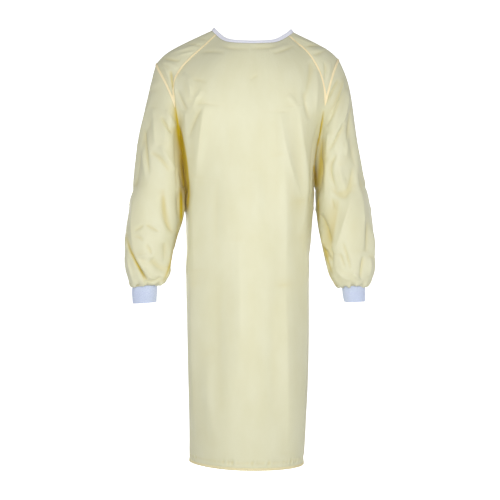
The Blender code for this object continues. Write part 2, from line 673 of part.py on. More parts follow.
def gather(panel, first, rings, around, side):
    """Waves the sleeve's end in and out where it is gathered into the cuff. The waves vanish at
    the cuff seam, are deepest just above it, and fade up the sleeve."""
    angle = np.tile(np.arange(around) / around * 2 * np.pi, rings)
    level = np.repeat(np.linspace(0, 1, rings), around)
    depth = np.sin((1 - level) ** GATHER_CROWDING * np.pi) * GATHER_DEPTH
    wander = sum(size * np.sin(waves * angle + offset * side)
                 for waves, size, offset in GATHER_WANDER)
    panel.vertices[first:] += panel.normals[first:] * (
        depth * np.cos(GATHERS * angle + wander))[:, None]


def surface_at(panel, x, z):
    """(point, normal) of a back panel at x, z."""
    faces = np.array(panel.faces)
    a, b, c = np.moveaxis(panel.vertices[faces], 1, 0)
    ab, ac, ap = b - a, c - a, np.array([x, 0, z]) - a
    area = ab[:, 0] * ac[:, 2] - ac[:, 0] * ab[:, 2]
    area = np.where(np.abs(area) < 1e-6, np.inf, area)
    share_b = (ap[:, 0] * ac[:, 2] - ac[:, 0] * ap[:, 2]) / area
    share_c = (ab[:, 0] * ap[:, 2] - ap[:, 0] * ab[:, 2]) / area
    shares = np.stack([1 - share_b - share_c, share_b, share_c], axis=1)
    k = int(np.argmax(shares.min(axis=1)))
    return shares[k] @ panel.vertices[faces[k]], unit(shares[k] @ panel.normals[faces[k]])


def band(name, middles, across, widths, back):
    """A flat tie along these middles (x and z, and how far it stands off the back), as a sheet
    two points wide that follows the back's surface. Across is the way its width lies in x, z."""
    edges = []
    for way in (-0.5, 0.5):
        places = middles[:, :2] + way * np.outer(widths, across)
        found = [surface_at(back, *place) for place in places]
        edges.append(np.array([point + normal * stand for (point, normal), stand
                               in zip(found, middles[:, 2])]))
    return Panel(name, np.stack(edges, axis=1), quads(len(middles), 2))


def knot_solid(middle, normal):
    """A pulled-tight knot: a squared ball, flattened along the back's normal."""
    tilt = np.linspace(0, np.pi, KNOT_RINGS)[1:-1]
    turn = np.linspace(0, 2 * np.pi, KNOT_AROUND, endpoint=False)
    flat = [np.sign(np.cos(turn)) * np.abs(np.cos(turn)) ** KNOT_SQUARENESS,
            np.sign(np.sin(turn)) * np.abs(np.sin(turn)) ** KNOT_SQUARENESS]
    wide = np.sin(tilt) ** KNOT_SQUARENESS
    high = np.sign(np.cos(tilt)) * np.abs(np.cos(tilt)) ** KNOT_SQUARENESS
    body = np.stack([np.outer(wide, flat[0]), np.outer(wide, flat[1]),
                     np.outer(high, np.ones(KNOT_AROUND))], axis=2)
    body = np.concatenate([body.reshape(-1, 3), [[0, 0, 1], [0, 0, -1]]]) * KNOT_HALF
    side = unit(np.cross(normal, (0, 0, 1)))
    vertices = middle + body @ np.stack([side, normal, np.cross(side, normal)])
    faces = [tuple(f) for f in flip(quads(KNOT_RINGS - 2, KNOT_AROUND, wrap=True))]
    top, bottom = len(vertices) - 2, len(vertices) - 1
    last = bottom - 1 - KNOT_AROUND
    for k in range(KNOT_AROUND):
        after = (k + 1) % KNOT_AROUND
        faces += [(top, k, after), (bottom, last + after, last + k)]
    return vertices, faces


def build_ties(right_back, left_back):
    """Neck and waist ties. Each pair is a strap sewn to either back, a knot just past the left
    back's free edge, and two tails that hang from it. All stand off the right back, which runs
    on beneath the left one."""
    edge = left_back.vertices.reshape(-1, left_back.columns, 3)[:, 0]
    stand = LAY_GAP + KNOT_HALF[1]
    share = np.linspace(0, 1, STRAP_POINTS)
    for name, z, strap_right, strap_left, tail_right, tail_left in zip(TIE_NAMES, *TIES.values()):
        middle_x = np.interp(z, edge[:, 2], edge[:, 0]) - KNOT_PAST_EDGE
        point, normal = surface_at(right_back, middle_x, z)
        add_object(f"{name}_tie_knot", *knot_solid(point + normal * stand, normal), "yellow_cloth")
        below = (KNOT_HALF[2] + TIE_TOUCH - SLOPE_CLOSING * normal[2]) * np.hypot(*normal[:2])
        for side, word, strap, tail in ((RIGHT, "right", strap_right, tail_right),
                                        (LEFT, "left", strap_left, tail_left)):
            x = middle_x + side * (KNOT_HALF[0] + TIE_TOUCH + strap * share)
            lie = LAY_GAP + TIE_WALL + (BACK_LAP_OFFSET if side == LEFT else 0)
            rise = max(0, stand + TIE_WALL / 2 - lie) * (1 - share) ** 3
            middles = np.stack([x, np.full(len(x), z), lie + TIE_LIFT + rise], axis=1)
            widths = TIE_WIDTH * (1 - (1 - TIE_PINCH) * (1 - share) ** 2)
            piece = band(f"{name}_tie_strap_{word}", middles, (0, side), widths, right_back)
            add_object(piece.name, *solid(piece, TIE_WALL, inset=0), "yellow_cloth")
            down = np.linspace(0, 1, TAIL_POINTS) ** TAIL_CROWDING * tail
            open_up = 1 - np.exp(-down / TAIL_OPENING)
            x = middle_x + side * (TAIL_ROOT + open_up * (TIE_SPREAD - TAIL_ROOT))
            stand_off = BACK_LAP_OFFSET + TAIL_STANDOFF + (1 - open_up) * TIE_WALL / 2
            middles = np.stack([x, z - below - down, stand_off], axis=1)
            widths = TIE_WIDTH * (TIE_PINCH + (1 - TIE_PINCH) * open_up)
            piece = band(f"{name}_tie_{word}", middles, (-1, 0), widths, right_back)
            add_object(piece.name, *solid(piece, TIE_WALL, inset=0), "yellow_cloth")


def build_neck_binding(back_right, front, back_left, yokes):
    """The binding carries on from the neck seam all round, up and in towards the neck. Its left
    end laps over its right end at the centre back, as the backs do."""
    seam = np.concatenate([back_right[-1, ::-1], yokes[RIGHT][0, ::-1][1:], front[-1][1:],
                           yokes[LEFT][0][1:], back_left[-1, ::-1][1:]])
    inward = np.zeros_like(seam)
    inward[:, :2] = unit(NECK_AXIS - seam[:, :2])
    rise = unit(inward * BINDING_LEAN + np.array([0, 0, 1 - BINDING_LEAN / 3]))
    edge = seam + rise * BINDING_WIDTH
    return Panel("neck_binding", np.stack([seam, edge]), quads(2, len(seam)))


def set_tape_widths(grids):
    """Moves the rows and columns beside the seams to where the tapes' other edges are."""
    for side in (RIGHT, LEFT):
        yoke = grids[f"yoke_{side}"]
        widths = np.linspace(SEAM_TAPE_NECK, SEAM_TAPE_TIP, len(yoke))[:, None]
        yoke[:-1, 1] = (yoke[:, 0] + widths * unit(yoke[:, 2] - yoke[:, 0]))[:-1]
        yoke[:-1, -2] = (yoke[:, -1] + widths * unit(yoke[:, -3] - yoke[:, -1]))[:-1]
        inner = slice(1, -1)
        yoke[-2, inner] = (yoke[-1] + SEAM_TAPE_TIP * unit(yoke[-3] - yoke[-1]))[inner]
    for name in ("front", "back"):
        grid = grids[name]
        grid[1] = grid[0] + HEM_TAPE_WIDTH * unit(grid[2] - grid[0])


def lap_backs(back):
    """The right back runs past the centre, and the left back laps over it from outside."""
    middle = back.shape[1] // 2
    right = back[:, :middle + BACK_LAP + 1].copy()
    left = back[:, middle - BACK_LAP:].copy()
    panel = Panel("back", back, net_faces(back, turned=True))
    normals = panel.normals.reshape(back.shape)[:, middle - BACK_LAP:]
    columns = np.arange(left.shape[1])
    rise = np.clip((2 * BACK_LAP + 2 - columns) / 2, 0, 1)
    rise = rise * rise * (3 - 2 * rise)
    return right, left + normals * (rise * BACK_LAP_OFFSET)[None, :, None]


def smooth_nets():
    """The nets of the body, yokes and sleeves, smoothed together across their seams."""
    front = body_grid(FRONT, FRONT_HALF)
    back = body_grid(BACK, BACK_HALF)
    yokes = [yoke_grid(side) for side in (RIGHT, LEFT)]
    sleeves = [sleeve_grid(side, armhole_ring(front, back, yoke, side))
               for side, yoke in zip((RIGHT, LEFT), yokes)]
    nets = [front, back, *yokes, *sleeves]
    pins = [np.zeros(net.shape[:2], bool) for net in nets]
    for pin in pins[-2:]:
        pin[:PINNED_RINGS, [-1, 0, 1]] = True
    grids = dict(zip(NETS, fair(nets, WRAPS, pins)))
    set_tape_widths(grids)
    for side in (RIGHT, LEFT):
        grids[f"sleeve_{side}"][0] = armhole_ring(grids["front"], grids["back"],
                                                  grids[f"yoke_{side}"], side)
    return grids


def fold_nets(grids):
    """Lifts the soft folds, with the nets' normals shared so that folds carry on over a seam."""
    surfaces = [Panel(name, grids[name], net_faces(grids[name], wrap, turned))
                for name, wrap, turned in zip(NETS, WRAPS, FLIPS)]
    share_normals(surfaces)
    for panel in surfaces:
        lift = fold_lift(panel.vertices, panel.normals)[:, None]
        folded = panel.vertices + panel.normals * lift
        grids[panel.name] = folded.reshape(grids[panel.name].shape)


def sleeve_panels(grid, side, word):
    """The sleeve, gathered at its end, and the cuff that starts from the sleeve's last ring."""
    count = grid.shape[1]
    around = 2 * count
    vertices, faces, first = double_rings(grid, GATHER_RINGS)
    cuff = cuff_grid(side, count)
    cuff_points = np.concatenate([vertices[-around:],
                                  double_rings(cuff, len(cuff) - 1)[0][count:]])
    cuff_faces = quads(len(cuff), around, wrap=True)
    if side == LEFT:
        faces = [face[::-1] for face in faces]
        cuff_faces = flip(cuff_faces)
    name = f"sleeve_{word}"
    sleeve = Panel(name, vertices, faces)
    gather(sleeve, first, GATHER_RINGS, around, side)
    return Panel(name, sleeve.vertices, faces), Panel(f"cuff_{word}", cuff_points, cuff_faces)


def make_panels(grids):
    """(the backs, all the panels with the binding last, and each tape's panel, cells and name)."""
    back_right, back_left = lap_backs(grids["back"])
    backs = (Panel("back_panel_right", back_right, net_faces(back_right, turned=True)),
             Panel("back_panel_left", back_left, net_faces(back_left, turned=True)))
    panels = [Panel("front_panel", grids["front"], net_faces(grids["front"])), *backs]
    tapes = []
    for panel in panels:
        cell = np.arange(len(panel.faces) // 2)
        tapes.append((panel, cell < panel.columns - 1, panel.name.replace("panel", "hem")))
    yokes = {}
    for side, word in SIDES:
        yokes[side] = yoke = grids[f"yoke_{side}"]
        rows, columns = yoke.shape[:2]
        panel = Panel(f"yoke_{word}", yoke, net_faces(yoke, turned=side == LEFT))
        row, column = np.divmod(np.arange((rows - 1) * (columns - 1)), columns - 1)
        edge = (column == 0) | (column == columns - 2) | (row == rows - 2)
        tapes.append((panel, edge, f"seam_tape_{word}"))
        panels += [panel, *sleeve_panels(grids[f"sleeve_{side}"], side, word)]
    panels.append(build_neck_binding(back_right, grids["front"], back_left, yokes))
    share_normals(panels)
    return backs, panels, tapes


def wall_and_finish(name):
    """Each panel's thickness and material."""
    if name.startswith("cuff"):
        return KNIT, "white_knit"
    if name == "neck_binding":
        return BINDING_WALL, "white_knit"
    return CLOTH, "yellow_cloth"


def clear_scene():
    for thing in list(bpy.data.objects):
        bpy.data.objects.remove(thing)


def main():
    clear_scene()
    grids = smooth_nets()
    fold_nets(grids)
    backs, panels, tapes = make_panels(grids)
    for panel in panels:
        wall, finish = wall_and_finish(panel.name)
        add_object(panel.name, *solid(panel, wall), finish)
    for panel, keep, name in tapes:
        tape = tape_cells(panel, keep, name)
        walls = solid(tape, TAPE, outset=LAY_GAP + TAPE, inset=TAPE_INSET)
        add_object(name, *walls, "peach_tape")
    build_ties(*backs)


main()
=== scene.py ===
"""Isolation gown in its worn form, with nobody in it: the fine cloth, knit, tapes, stitching and
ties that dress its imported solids.

The wearer's front faces -Y and the wearer's left side is at +X. Tables are in millimetres, and the
scene is in metres. The cloth is worked out from the same tables as the solids: a net of control
points for every panel, joined along the seams, smoothed, divided finely and then creased.
"""

from functools import cache

import bmesh
import bpy
import numpy as np
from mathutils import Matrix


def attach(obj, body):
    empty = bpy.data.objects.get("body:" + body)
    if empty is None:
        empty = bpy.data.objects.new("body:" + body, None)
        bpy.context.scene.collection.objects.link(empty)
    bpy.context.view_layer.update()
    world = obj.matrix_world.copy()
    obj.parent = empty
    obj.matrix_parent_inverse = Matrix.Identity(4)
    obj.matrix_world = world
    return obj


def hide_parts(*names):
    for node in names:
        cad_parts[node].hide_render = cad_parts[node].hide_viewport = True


bl_info = {
    "name": "Isolation gown",
    "version": (1, 0, 0),
    "blender": (4, 5, 0),
    "location": "View3D > Sidebar > Gown",
    "description": "Dresses the frame of an isolation gown with cloth, knit cuffs and ties",
    "category": "Object",
}

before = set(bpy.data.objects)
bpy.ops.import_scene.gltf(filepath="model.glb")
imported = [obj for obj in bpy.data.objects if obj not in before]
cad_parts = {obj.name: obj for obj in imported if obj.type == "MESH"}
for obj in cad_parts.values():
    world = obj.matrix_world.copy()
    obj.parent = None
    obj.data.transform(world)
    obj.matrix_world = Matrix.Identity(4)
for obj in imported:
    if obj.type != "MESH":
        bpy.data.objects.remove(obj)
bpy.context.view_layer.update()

MM = 0.001
RIGHT, LEFT = -1, 1    # the wearer's sides
FRONT, BACK = -1, 1

# How finely each seam's net is divided, as in the solids.
SKIRT_ROWS = 13
VALLEY_ROWS = 7
RAGLAN_SHARES = np.array([0.0, 0.16, 0.33, 0.50, 0.67, 0.82, 0.95, 1.0])
CAP_SHARES = np.array([0.0, 0.05, 0.24, 0.43, 0.62, 0.81, 1.0])
FRONT_HALF = 12
BACK_HALF = 10
BACK_LAP = 3           # columns either side of the centre back that both backs cover
SLEEVE_RINGS = np.array([0, 0.45, 0.95, 1.5, 2.1, 2.8, 3.5, 4.25, 5, 5.75, 6.5, 7.25, 8, 8.6,
                         9.1, 9.5, 9.85, 10.15, 10.5, 10.78, 11])
PINNED_RINGS = 3       # rings whose underarm points are held while the rest is smoothed
GATHER_RINGS = 5       # rings above the cuff that carry the gathers
CURVE_STEPS = 40       # points per key that a curve's length is measured with
HEM_ROW = 0.012        # the net's second row, as a share of the way to the underarm
MIDDLE_BLEND = 4       # the power that the skirt's middle turns into the chest's by
ROUNDS = 3             # each round of fine division halves the net's cells
FINE = 2 ** ROUNDS

# Sizes that the pieces share, in millimetres.
BACK_LAP_OFFSET = 3.4  # the left back lies this far over the right back
HEM_TAPE_WIDTH = 7.0
SEAM_TAPE_NECK = 4.5   # where the net's line beside the raglan seam is, at the neck
SEAM_TAPE_TIP = 8.5    # and at the yoke's tip
TAPE_SHOWN = (5.5, 15.0)   # how wide the raglan tape is at the neck and at the yoke's tip
HEAD_TAPE_SHOWN = 7.5      # and the tape over the sleeve's head, away from the tips
TAPE_LIFT = 0.9            # how far tapes stand off the cloth
HEAD_TAPE_LIFT = 1.1       # and the one over the sleeve's head, over their ends
TAPE_WALL = 0.6
EYE_DISTANCE = 3300.0  # the front is looked at from this far, at this height
EYE_Z = -610.0


def table(names, *rows):
    """A table with named columns: {name: values down the rows}."""
    return dict(zip(names.split(), np.array(rows, float).T))


def text_table(text):
    """A long table, written as lines of text with the names of its columns on the first."""
    names, *rows = text.strip().splitlines()
    return table(names, *(row.split() for row in rows))


def points(rows):
    """The x, y, z columns of a table as an array of points."""
    return np.stack([rows["x"], rows["y"], rows["z"]], axis=1)


# Body below the arms. right_x and left_x are its sides seen from the front. A power over 1 pinches
# the section towards that side seam, and one under 1 squares it.
BODY = table(
    "z      right_x  left_x  side_y  front_y  back_y  right_power  left_power",
    (-1200, -167.0,  146.5,   0.0,   -135,    118,    1.30,        0.95),
    (-1133, -167.8,  153.0,   1.0,   -135,    118,    1.20,        0.95),
    (-1023, -168.5,  158.0,   2.0,   -134,    117,    1.10,        1.00),
    (-913,  -171.5,  160.8,   3.0,   -133,    116,    1.05,        1.00),
    (-803,  -174.5,  163.8,   4.0,   -132,    115,    1.00,        1.00),
    (-693,  -177.0,  163.3,   6.0,   -130,    113,    0.95,        1.00),
    (-583,  -175.0,  164.8,   9.0,   -128,    111,    0.92,        0.95),
    (-517,  -171.5,  169.5,  11.0,   -127,    110,    0.90,        0.92),
    (-420,  -174.5,  178.0,  12.0,   -125,    109,    0.90,        0.90),
)
HEM_Z = -1193.0
HEM_SLOPE = -0.0210    # the hem hangs a little lower on the wearer's left

# Centre lines from the underarm row up to the neck seam.
CENTRE_FRONT = table("x y z", (1, -126, -455), (1, -129, -380), (2, -131, -300), (3, -129, -220),
                     (4, -121, -145), (5, -107, -95), (5, -88, -56))
CENTRE_BACK = table("x y z", (1, 109, -455), (1, 115, -370), (2, 119, -290), (3, 118, -210),
                    (4, 109, -140), (5, 92, -85), (6, 66, -43))

# Armhole and raglan seams, each from the underarm through the yoke's tip to the neck.
VALLEY_FRONT = {
    RIGHT: table("x y z", (-174.6, 12, -473), (-180, 0, -404), (-187, -18, -337),
                 (-195, -42, -272), (-201.4, -72, -220)),
    LEFT: table("x y z", (178, 12, -429), (180, -2, -380), (183, -20, -330),
                (190, -42, -271), (201.7, -72, -217)),
}
RAGLAN_FRONT = {
    RIGHT: table("x y z", (-201.4, -72, -220), (-206.5, -80, -183), (-204, -80, -157),
                 (-192.6, -73, -127), (-166, -64, -98), (-138, -53, -71), (-92, -27, -23.5)),
    LEFT: table("x y z", (201.7, -72, -217), (199.5, -78, -168), (188, -74, -130),
                (168, -64, -89), (139, -47, -56), (105, -28, -26.6)),
}
VALLEY_BACK = {
    RIGHT: table("x y z", (-174.6, 12, -473), (-183, 26, -404), (-190, 42, -337),
                 (-197, 60, -280), (-203, 82, -232)),
    LEFT: table("x y z", (178, 12, -429), (182, 24, -385), (187, 40, -332),
                (195, 60, -276), (203, 82, -229)),
}
RAGLAN_BACK = {
    RIGHT: table("x y z", (-203, 82, -232), (-205, 88, -192), (-196, 86, -152),
                 (-167, 74, -103), (-128, 51, -56), (-92, 27, -25)),
    LEFT: table("x y z", (203, 82, -229), (202, 88, -185), (190, 85, -144),
                (166, 73, -98), (136, 51, -58), (105, 27, -29)),
}
# Sleeve head seam, from the front tip over the shoulder to the back tip.
HEAD_FRONT = {
    RIGHT: table("x y z", (-201.4, -72, -220), (-214, -74, -184), (-227, -66, -157),
                 (-246, -46, -125), (-258, -24, -102), (-260, 0, -92)),
    LEFT: table("x y z", (201.7, -72, -217), (209, -75, -182), (217, -69, -152),
                (231, -46, -109), (242, -22, -88), (245, 0, -79)),
}
HEAD_BACK = {
    RIGHT: table("x y z", (-260, 0, -92), (-258, 26, -103), (-246, 52, -132),
                 (-229, 74, -172), (-215, 82, -202), (-203, 82, -232)),
    LEFT: table("x y z", (245, 0, -79), (243, 26, -91), (232, 52, -118),
                (219, 74, -163), (211, 82, -196), (203, 82, -229)),
}
SHOULDER_LINE = {
    RIGHT: table("x y z", (-106, 0, -6), (-133, 0, -17.5), (-163.6, 0, -33), (-210, 0, -55),
                 (-244, 0, -75), (-260, 0, -92)),
    LEFT: table("x y z", (120, 0, -10.5), (142, 0, -22), (165, 0, -33), (210, 0, -53.5),
                (233, 0, -68), (245, 0, -79)),
}
NECK_SEAM_FRONT = table("x y z", (-92, -27, -23.5), (-74.4, -52, -41), (-49.7, -74, -51),
                        (5, -88, -56), (41.6, -82, -54), (74.2, -62, -47.4), (105, -28, -26.6))
NECK_SEAM_BACK = table("x y z", (-92, 27, -25), (-74, 44, -37), (-42, 59, -42), (6, 66, -43),
                       (55, 59, -43), (87, 44, -39), (105, 27, -29))
NECK_SEAM_SIDE = {
    RIGHT: table("x y z", (-92, -27, -23.5), (-102, -14, -11.5), (-106, 0, -6),
                 (-102, 14, -12.5), (-92, 27, -25)),
    LEFT: table("x y z", (105, -28, -26.6), (116, -14, -15.5), (120, 0, -10.5),
                (116, 14, -17), (105, 27, -29)),
}
NECK_AXIS = np.array([6.0, -10.0])     # x, y that the binding leans towards
BINDING_LEAN = 0.62    # how far in it leans as it rises
BINDING_ROWS = 13
BINDING_COLUMNS = 1100
BINDING_ROOT = -0.08   # where it starts below the seam, as a share of its height
BINDING_OUT = 0.35     # it stands this far outside the seam, and swells and ribs by so much
BINDING_SWELL = 0.5
BINDING_RIB = 0.35

# How creases, the painted gold shade and the hem's puckers are drawn.
CREASE_TURN = (0.08, 0.45)     # creases fade in as the cloth turns to the eye, between these
PAINTED_SHADE_TURN = (-0.5, -0.1)       # and the painted gold shade between these, which reaches round the edges
STROKE_REACH = 2.6     # a stroke is worked out this many of its widths from its line
STROKE_FADE = 0.6      # the power of the half sine wave by which it grows and fades
TROUGH_ROUNDS = 24     # rounds of averaging that show how deep a trough is beside its surroundings
TROUGH_DEPTH = 3.0     # a trough this deep gets the most painted gold shade that creases get
TROUGH_PAINTED_SHADE = 0.20     # the most painted gold shade that creases get
PUCKER_DEPTH = 1.7     # how high the puckers above the hem's stitches are
HEM_TUCK = 1.8         # how far those stitches draw the cloth in
HEM_STITCHES = 1.1     # the net's row where they are
HEM_SPREAD = 0.13      # and how many rows the tuck reaches up and down

# Sleeves, ring by ring from the armhole to the cuff: the outer and inner edge of each ring seen
# from the front, the middle of its depth, and how far it reaches forwards and backwards.
SLEEVE = {
    RIGHT: table(
        "outer_x  outer_z  inner_x  inner_z  mid_y  front  back",
        (-260,    -92,     -174.6,  -473,     5,    85,    88),
        (-274,    -150,    -179,    -499,     3,    88,    86),
        (-290,    -220,    -181,    -516,     0,    86,    82),
        (-304,    -297,    -185,    -529,    -3,    82,    78),
        (-314,    -374,    -190,    -541,    -6,    78,    74),
        (-323,    -448,    -196,    -555,   -10,    75,    70),
        (-333.5,  -515,    -203,    -577,   -14,    72,    67),
        (-343,    -572,    -208,    -605,   -18,    71,    64),
        (-342,    -620,    -213.5,  -637,   -20,    69,    62),
        (-337,    -664,    -220.5,  -673,   -22,    64,    58),
        (-328,    -700,    -232,    -698,   -23,    50,    46),
        (-321.5,  -711,    -254,    -702,   -24,    32,    30),
    ),
    LEFT: table(
        "outer_x  outer_z  inner_x  inner_z  mid_y  front  back",
        (245,     -79,     178,     -429,     5,    85,    88),
        (271,     -140,    182,     -452,     3,    88,    86),
        (282,     -205,    184,     -471,     0,    86,    82),
        (290.5,   -277,    185,     -489,    -3,    82,    78),
        (302,     -355,    185.5,   -508,    -6,    78,    74),
        (315.5,   -430,    186,     -528,   -10,    75,    70),
        (327.5,   -508,    189.5,   -562,   -14,    72,    67),
        (337,     -568,    197,     -602,   -18,    71,    64),
        (339.5,   -620,    206,     -645,   -20,    68,    61),
        (337,     -668,    218.5,   -684,   -22,    63,    56),
        (328,     -696,    237,     -710,   -23,    47,    44),
        (315,     -708,    251,     -706,   -24,    31,    29),
    ),
}
HEAD_KEEP_ACROSS = 5.0   # rings over which the armhole's own outline fades, seen from the front
HEAD_KEEP_DEPTH = 1.6    # and over which its depth fades
HEAD_KEEP_POWER = 1.5

CUFF = {
    RIGHT: table(
        "outer_x  outer_z  inner_x  inner_z  mid_y  front  back",
        (-321.5,  -711,    -254,    -702,   -24,    32,    30),
        (-322,    -722,    -253,    -714,   -24,    32,    30),
        (-321,    -742,    -254,    -737,   -25,    32,    30),
        (-320,    -756,    -255,    -752,   -26,    31,    29),
    ),
    LEFT: table(
        "outer_x  outer_z  inner_x  inner_z  mid_y  front  back",
        (315,     -708,    251,     -706,   -24,    31,    29),
        (314,     -718,    251.5,   -718,   -24,    31,    29),
        (314,     -738,    253.5,   -738,   -25,    31,    29),
        (314,     -750,    257,     -752,   -26,    30,    28),
    ),
}

CUFF_STEPS = 36        # rings down a cuff
RIB_POINTS = 6         # points round each of its ribs
CUFF_RIB = 0.8         # depth of a rib
CUFF_WAVER = 0.35      # how unevenly the cuff stands out
CUFF_SEWN = 0.9        # how far the sleeve's seam draws it in

FOLD_ENDS = 0.22       # share of a fold's length over which it grows at either end
FOLD_FACING = 1.8      # it is whole where the cloth faces the eye by one over this

# Soft folds. Each is a crease line seen from the front (side -1) or from behind (side 1), with
# how far it spreads to its left and right as seen in x, and how far it lifts off the panel.
FOLDS = table(
    "side  x0    z0     x1    z1     left  right  lift",
    (-1,  -126, -225,  -150, -470,   36,    9,    7.0),
    (-1,  -150, -470,  -158, -760,   28,   14,    5.0),
    (-1,    86, -235,   101, -560,   10,   28,    6.5),
    (-1,   101, -560,   112, -1180,  12,   32,    6.0),
    (-1,   137, -225,   150, -500,    9,   22,    5.0),
    (-1,   -92, -640,   -96, -1000,  22,   30,   -4.0),
    (-1,    30, -520,    40, -1100,  44,   44,    3.5),
    (-1,   -30, -700,   -40, -1150,  44,   44,    3.5),
    (-1,  -172, -150,  -168, -240,   13,   13,    4.5),
    (-1,  -186, -120,  -195, -200,   10,   10,    3.5),
    (-1,  -283, -250,  -268, -470,   17,   17,    5.0),
    (-1,  -300, -420,  -282, -640,   15,   24,    5.0),
    (-1,  -215, -400,  -232, -600,   17,   17,    5.0),
    (-1,   250, -170,   214, -330,   13,   15,    5.0),
    (-1,   272, -200,   228, -430,   14,   17,    6.5),
    (-1,   285, -330,   262, -640,   15,   22,    5.5),
    (-1,   214, -430,   240, -560,   15,   15,   -5.5),
    (1,   -130, -260,  -140, -1150,  26,   26,    6.0),
    (1,    120, -260,   128, -1150,  26,   26,    6.0),
    (1,    -60, -420,   -66, -1150,  24,   24,    3.5),
    (1,     60, -480,    62, -1150,  24,   24,    3.5),
    (1,   -275, -240,  -285, -600,   18,   18,    6.0),
    (1,   -228, -300,  -250, -620,   17,   17,    5.0),
    (1,    270, -220,   285, -600,   18,   18,    6.0),
    (1,    226, -280,   246, -620,   17,   17,    5.0),
)

# Ties at the back: the height of each knot, and how long its pieces are.
TIES = table(
    "z     strap_right  strap_left  tail_right  tail_left",
    (-56,  34,          16,         215,        190),
    (-560, 40,          26,         300,        275),
)
TIE_NAMES = ("neck", "waist")
KNOT_HALF = np.array([10.0, 5.5, 8.0])
KNOT_PAST_EDGE = 11.0  # the knot's middle is this far past the left back's free edge
KNOT_ROUND = 0.8       # power of its outline: 1 is a ball, and less is squarer
KNOT_BAND = 0.42       # half the width of the band round it, as a share of its half length
KNOT_GROOVE = (0.5, 0.12)  # where the grooves beside the band are, and half their width
KNOT_RINGS, KNOT_AROUND = 40, 56
KNOT_INSIDE = 2.0      # the tails start this far up inside the knot
STRAP_ROOT = 7.0       # the straps start this far from the knot's middle
TIE_PINCH = 0.6        # the ties' width where they enter the knot, as a share
TAIL_ROOT = 4.2        # the tails start this far from the knot's middle
TAIL_SPREAD = 11.0     # and hang this much further out
TAIL_OPENING = 22.0    # how soon they do, as a length of tail
TAIL_CROWDING = 1.3    # power that crowds the tails' rows towards the knot
TAIL_SWAY = 1.2
TAIL_STANDOFF = 3.2    # how far outside the left back they hang
SLOPE_CLOSING = 1.3    # the tails start this much nearer the knot where the back slopes
TIE_LIFT = 0.25        # more room under the straps, for the back's curve
TIE_WIDTH = 12.0
TIE_WALL = 1.5         # as the solids have it
STRAP_ROWS = 40
TAIL_ROWS = 90
LAY_GAP = 0.35         # between a panel and what lies on it

# The nets in the order they are joined, which of them are tubes, and which run the other way round.
NETS = ("front", "back", "yoke_-1", "yoke_1", "sleeve_-1", "sleeve_1")
WRAPS = (False, False, False, False, True, True)
FLIPS = (False, True, False, True, False, True)
SIDES = ((RIGHT, "right"), (LEFT, "left"))
FLIP_TIE = {(0, RIGHT): False, (0, LEFT): True, (-1, 0): False}

# Stitches: rings of a stitch along its length, with how thick it is there and how high it lies,
# as shares of its length and width; and each row's stand-off, pitch, length, width and slant.
STITCH = table("along  thick  rise", (-0.5, 0.25, -0.30), (-0.25, 0.9, 0.05), (0.0, 1.0, 0.15),
               (0.25, 0.9, 0.05), (0.5, 0.25, -0.30))
STITCH_LIFT = 0.1      # stand-off of the stitches on the tapes
STITCH_SHARE = 0.72    # and their length as a share of their pitch
OVERLOCK = (0.15, 2.6, 4.2, 1.0, 1.15)
CUFF_STITCHES = (0.25, 3.0, 2.2, 0.7)
EDGE_STITCHES = (0.2, 3.6, 2.6, 0.55)

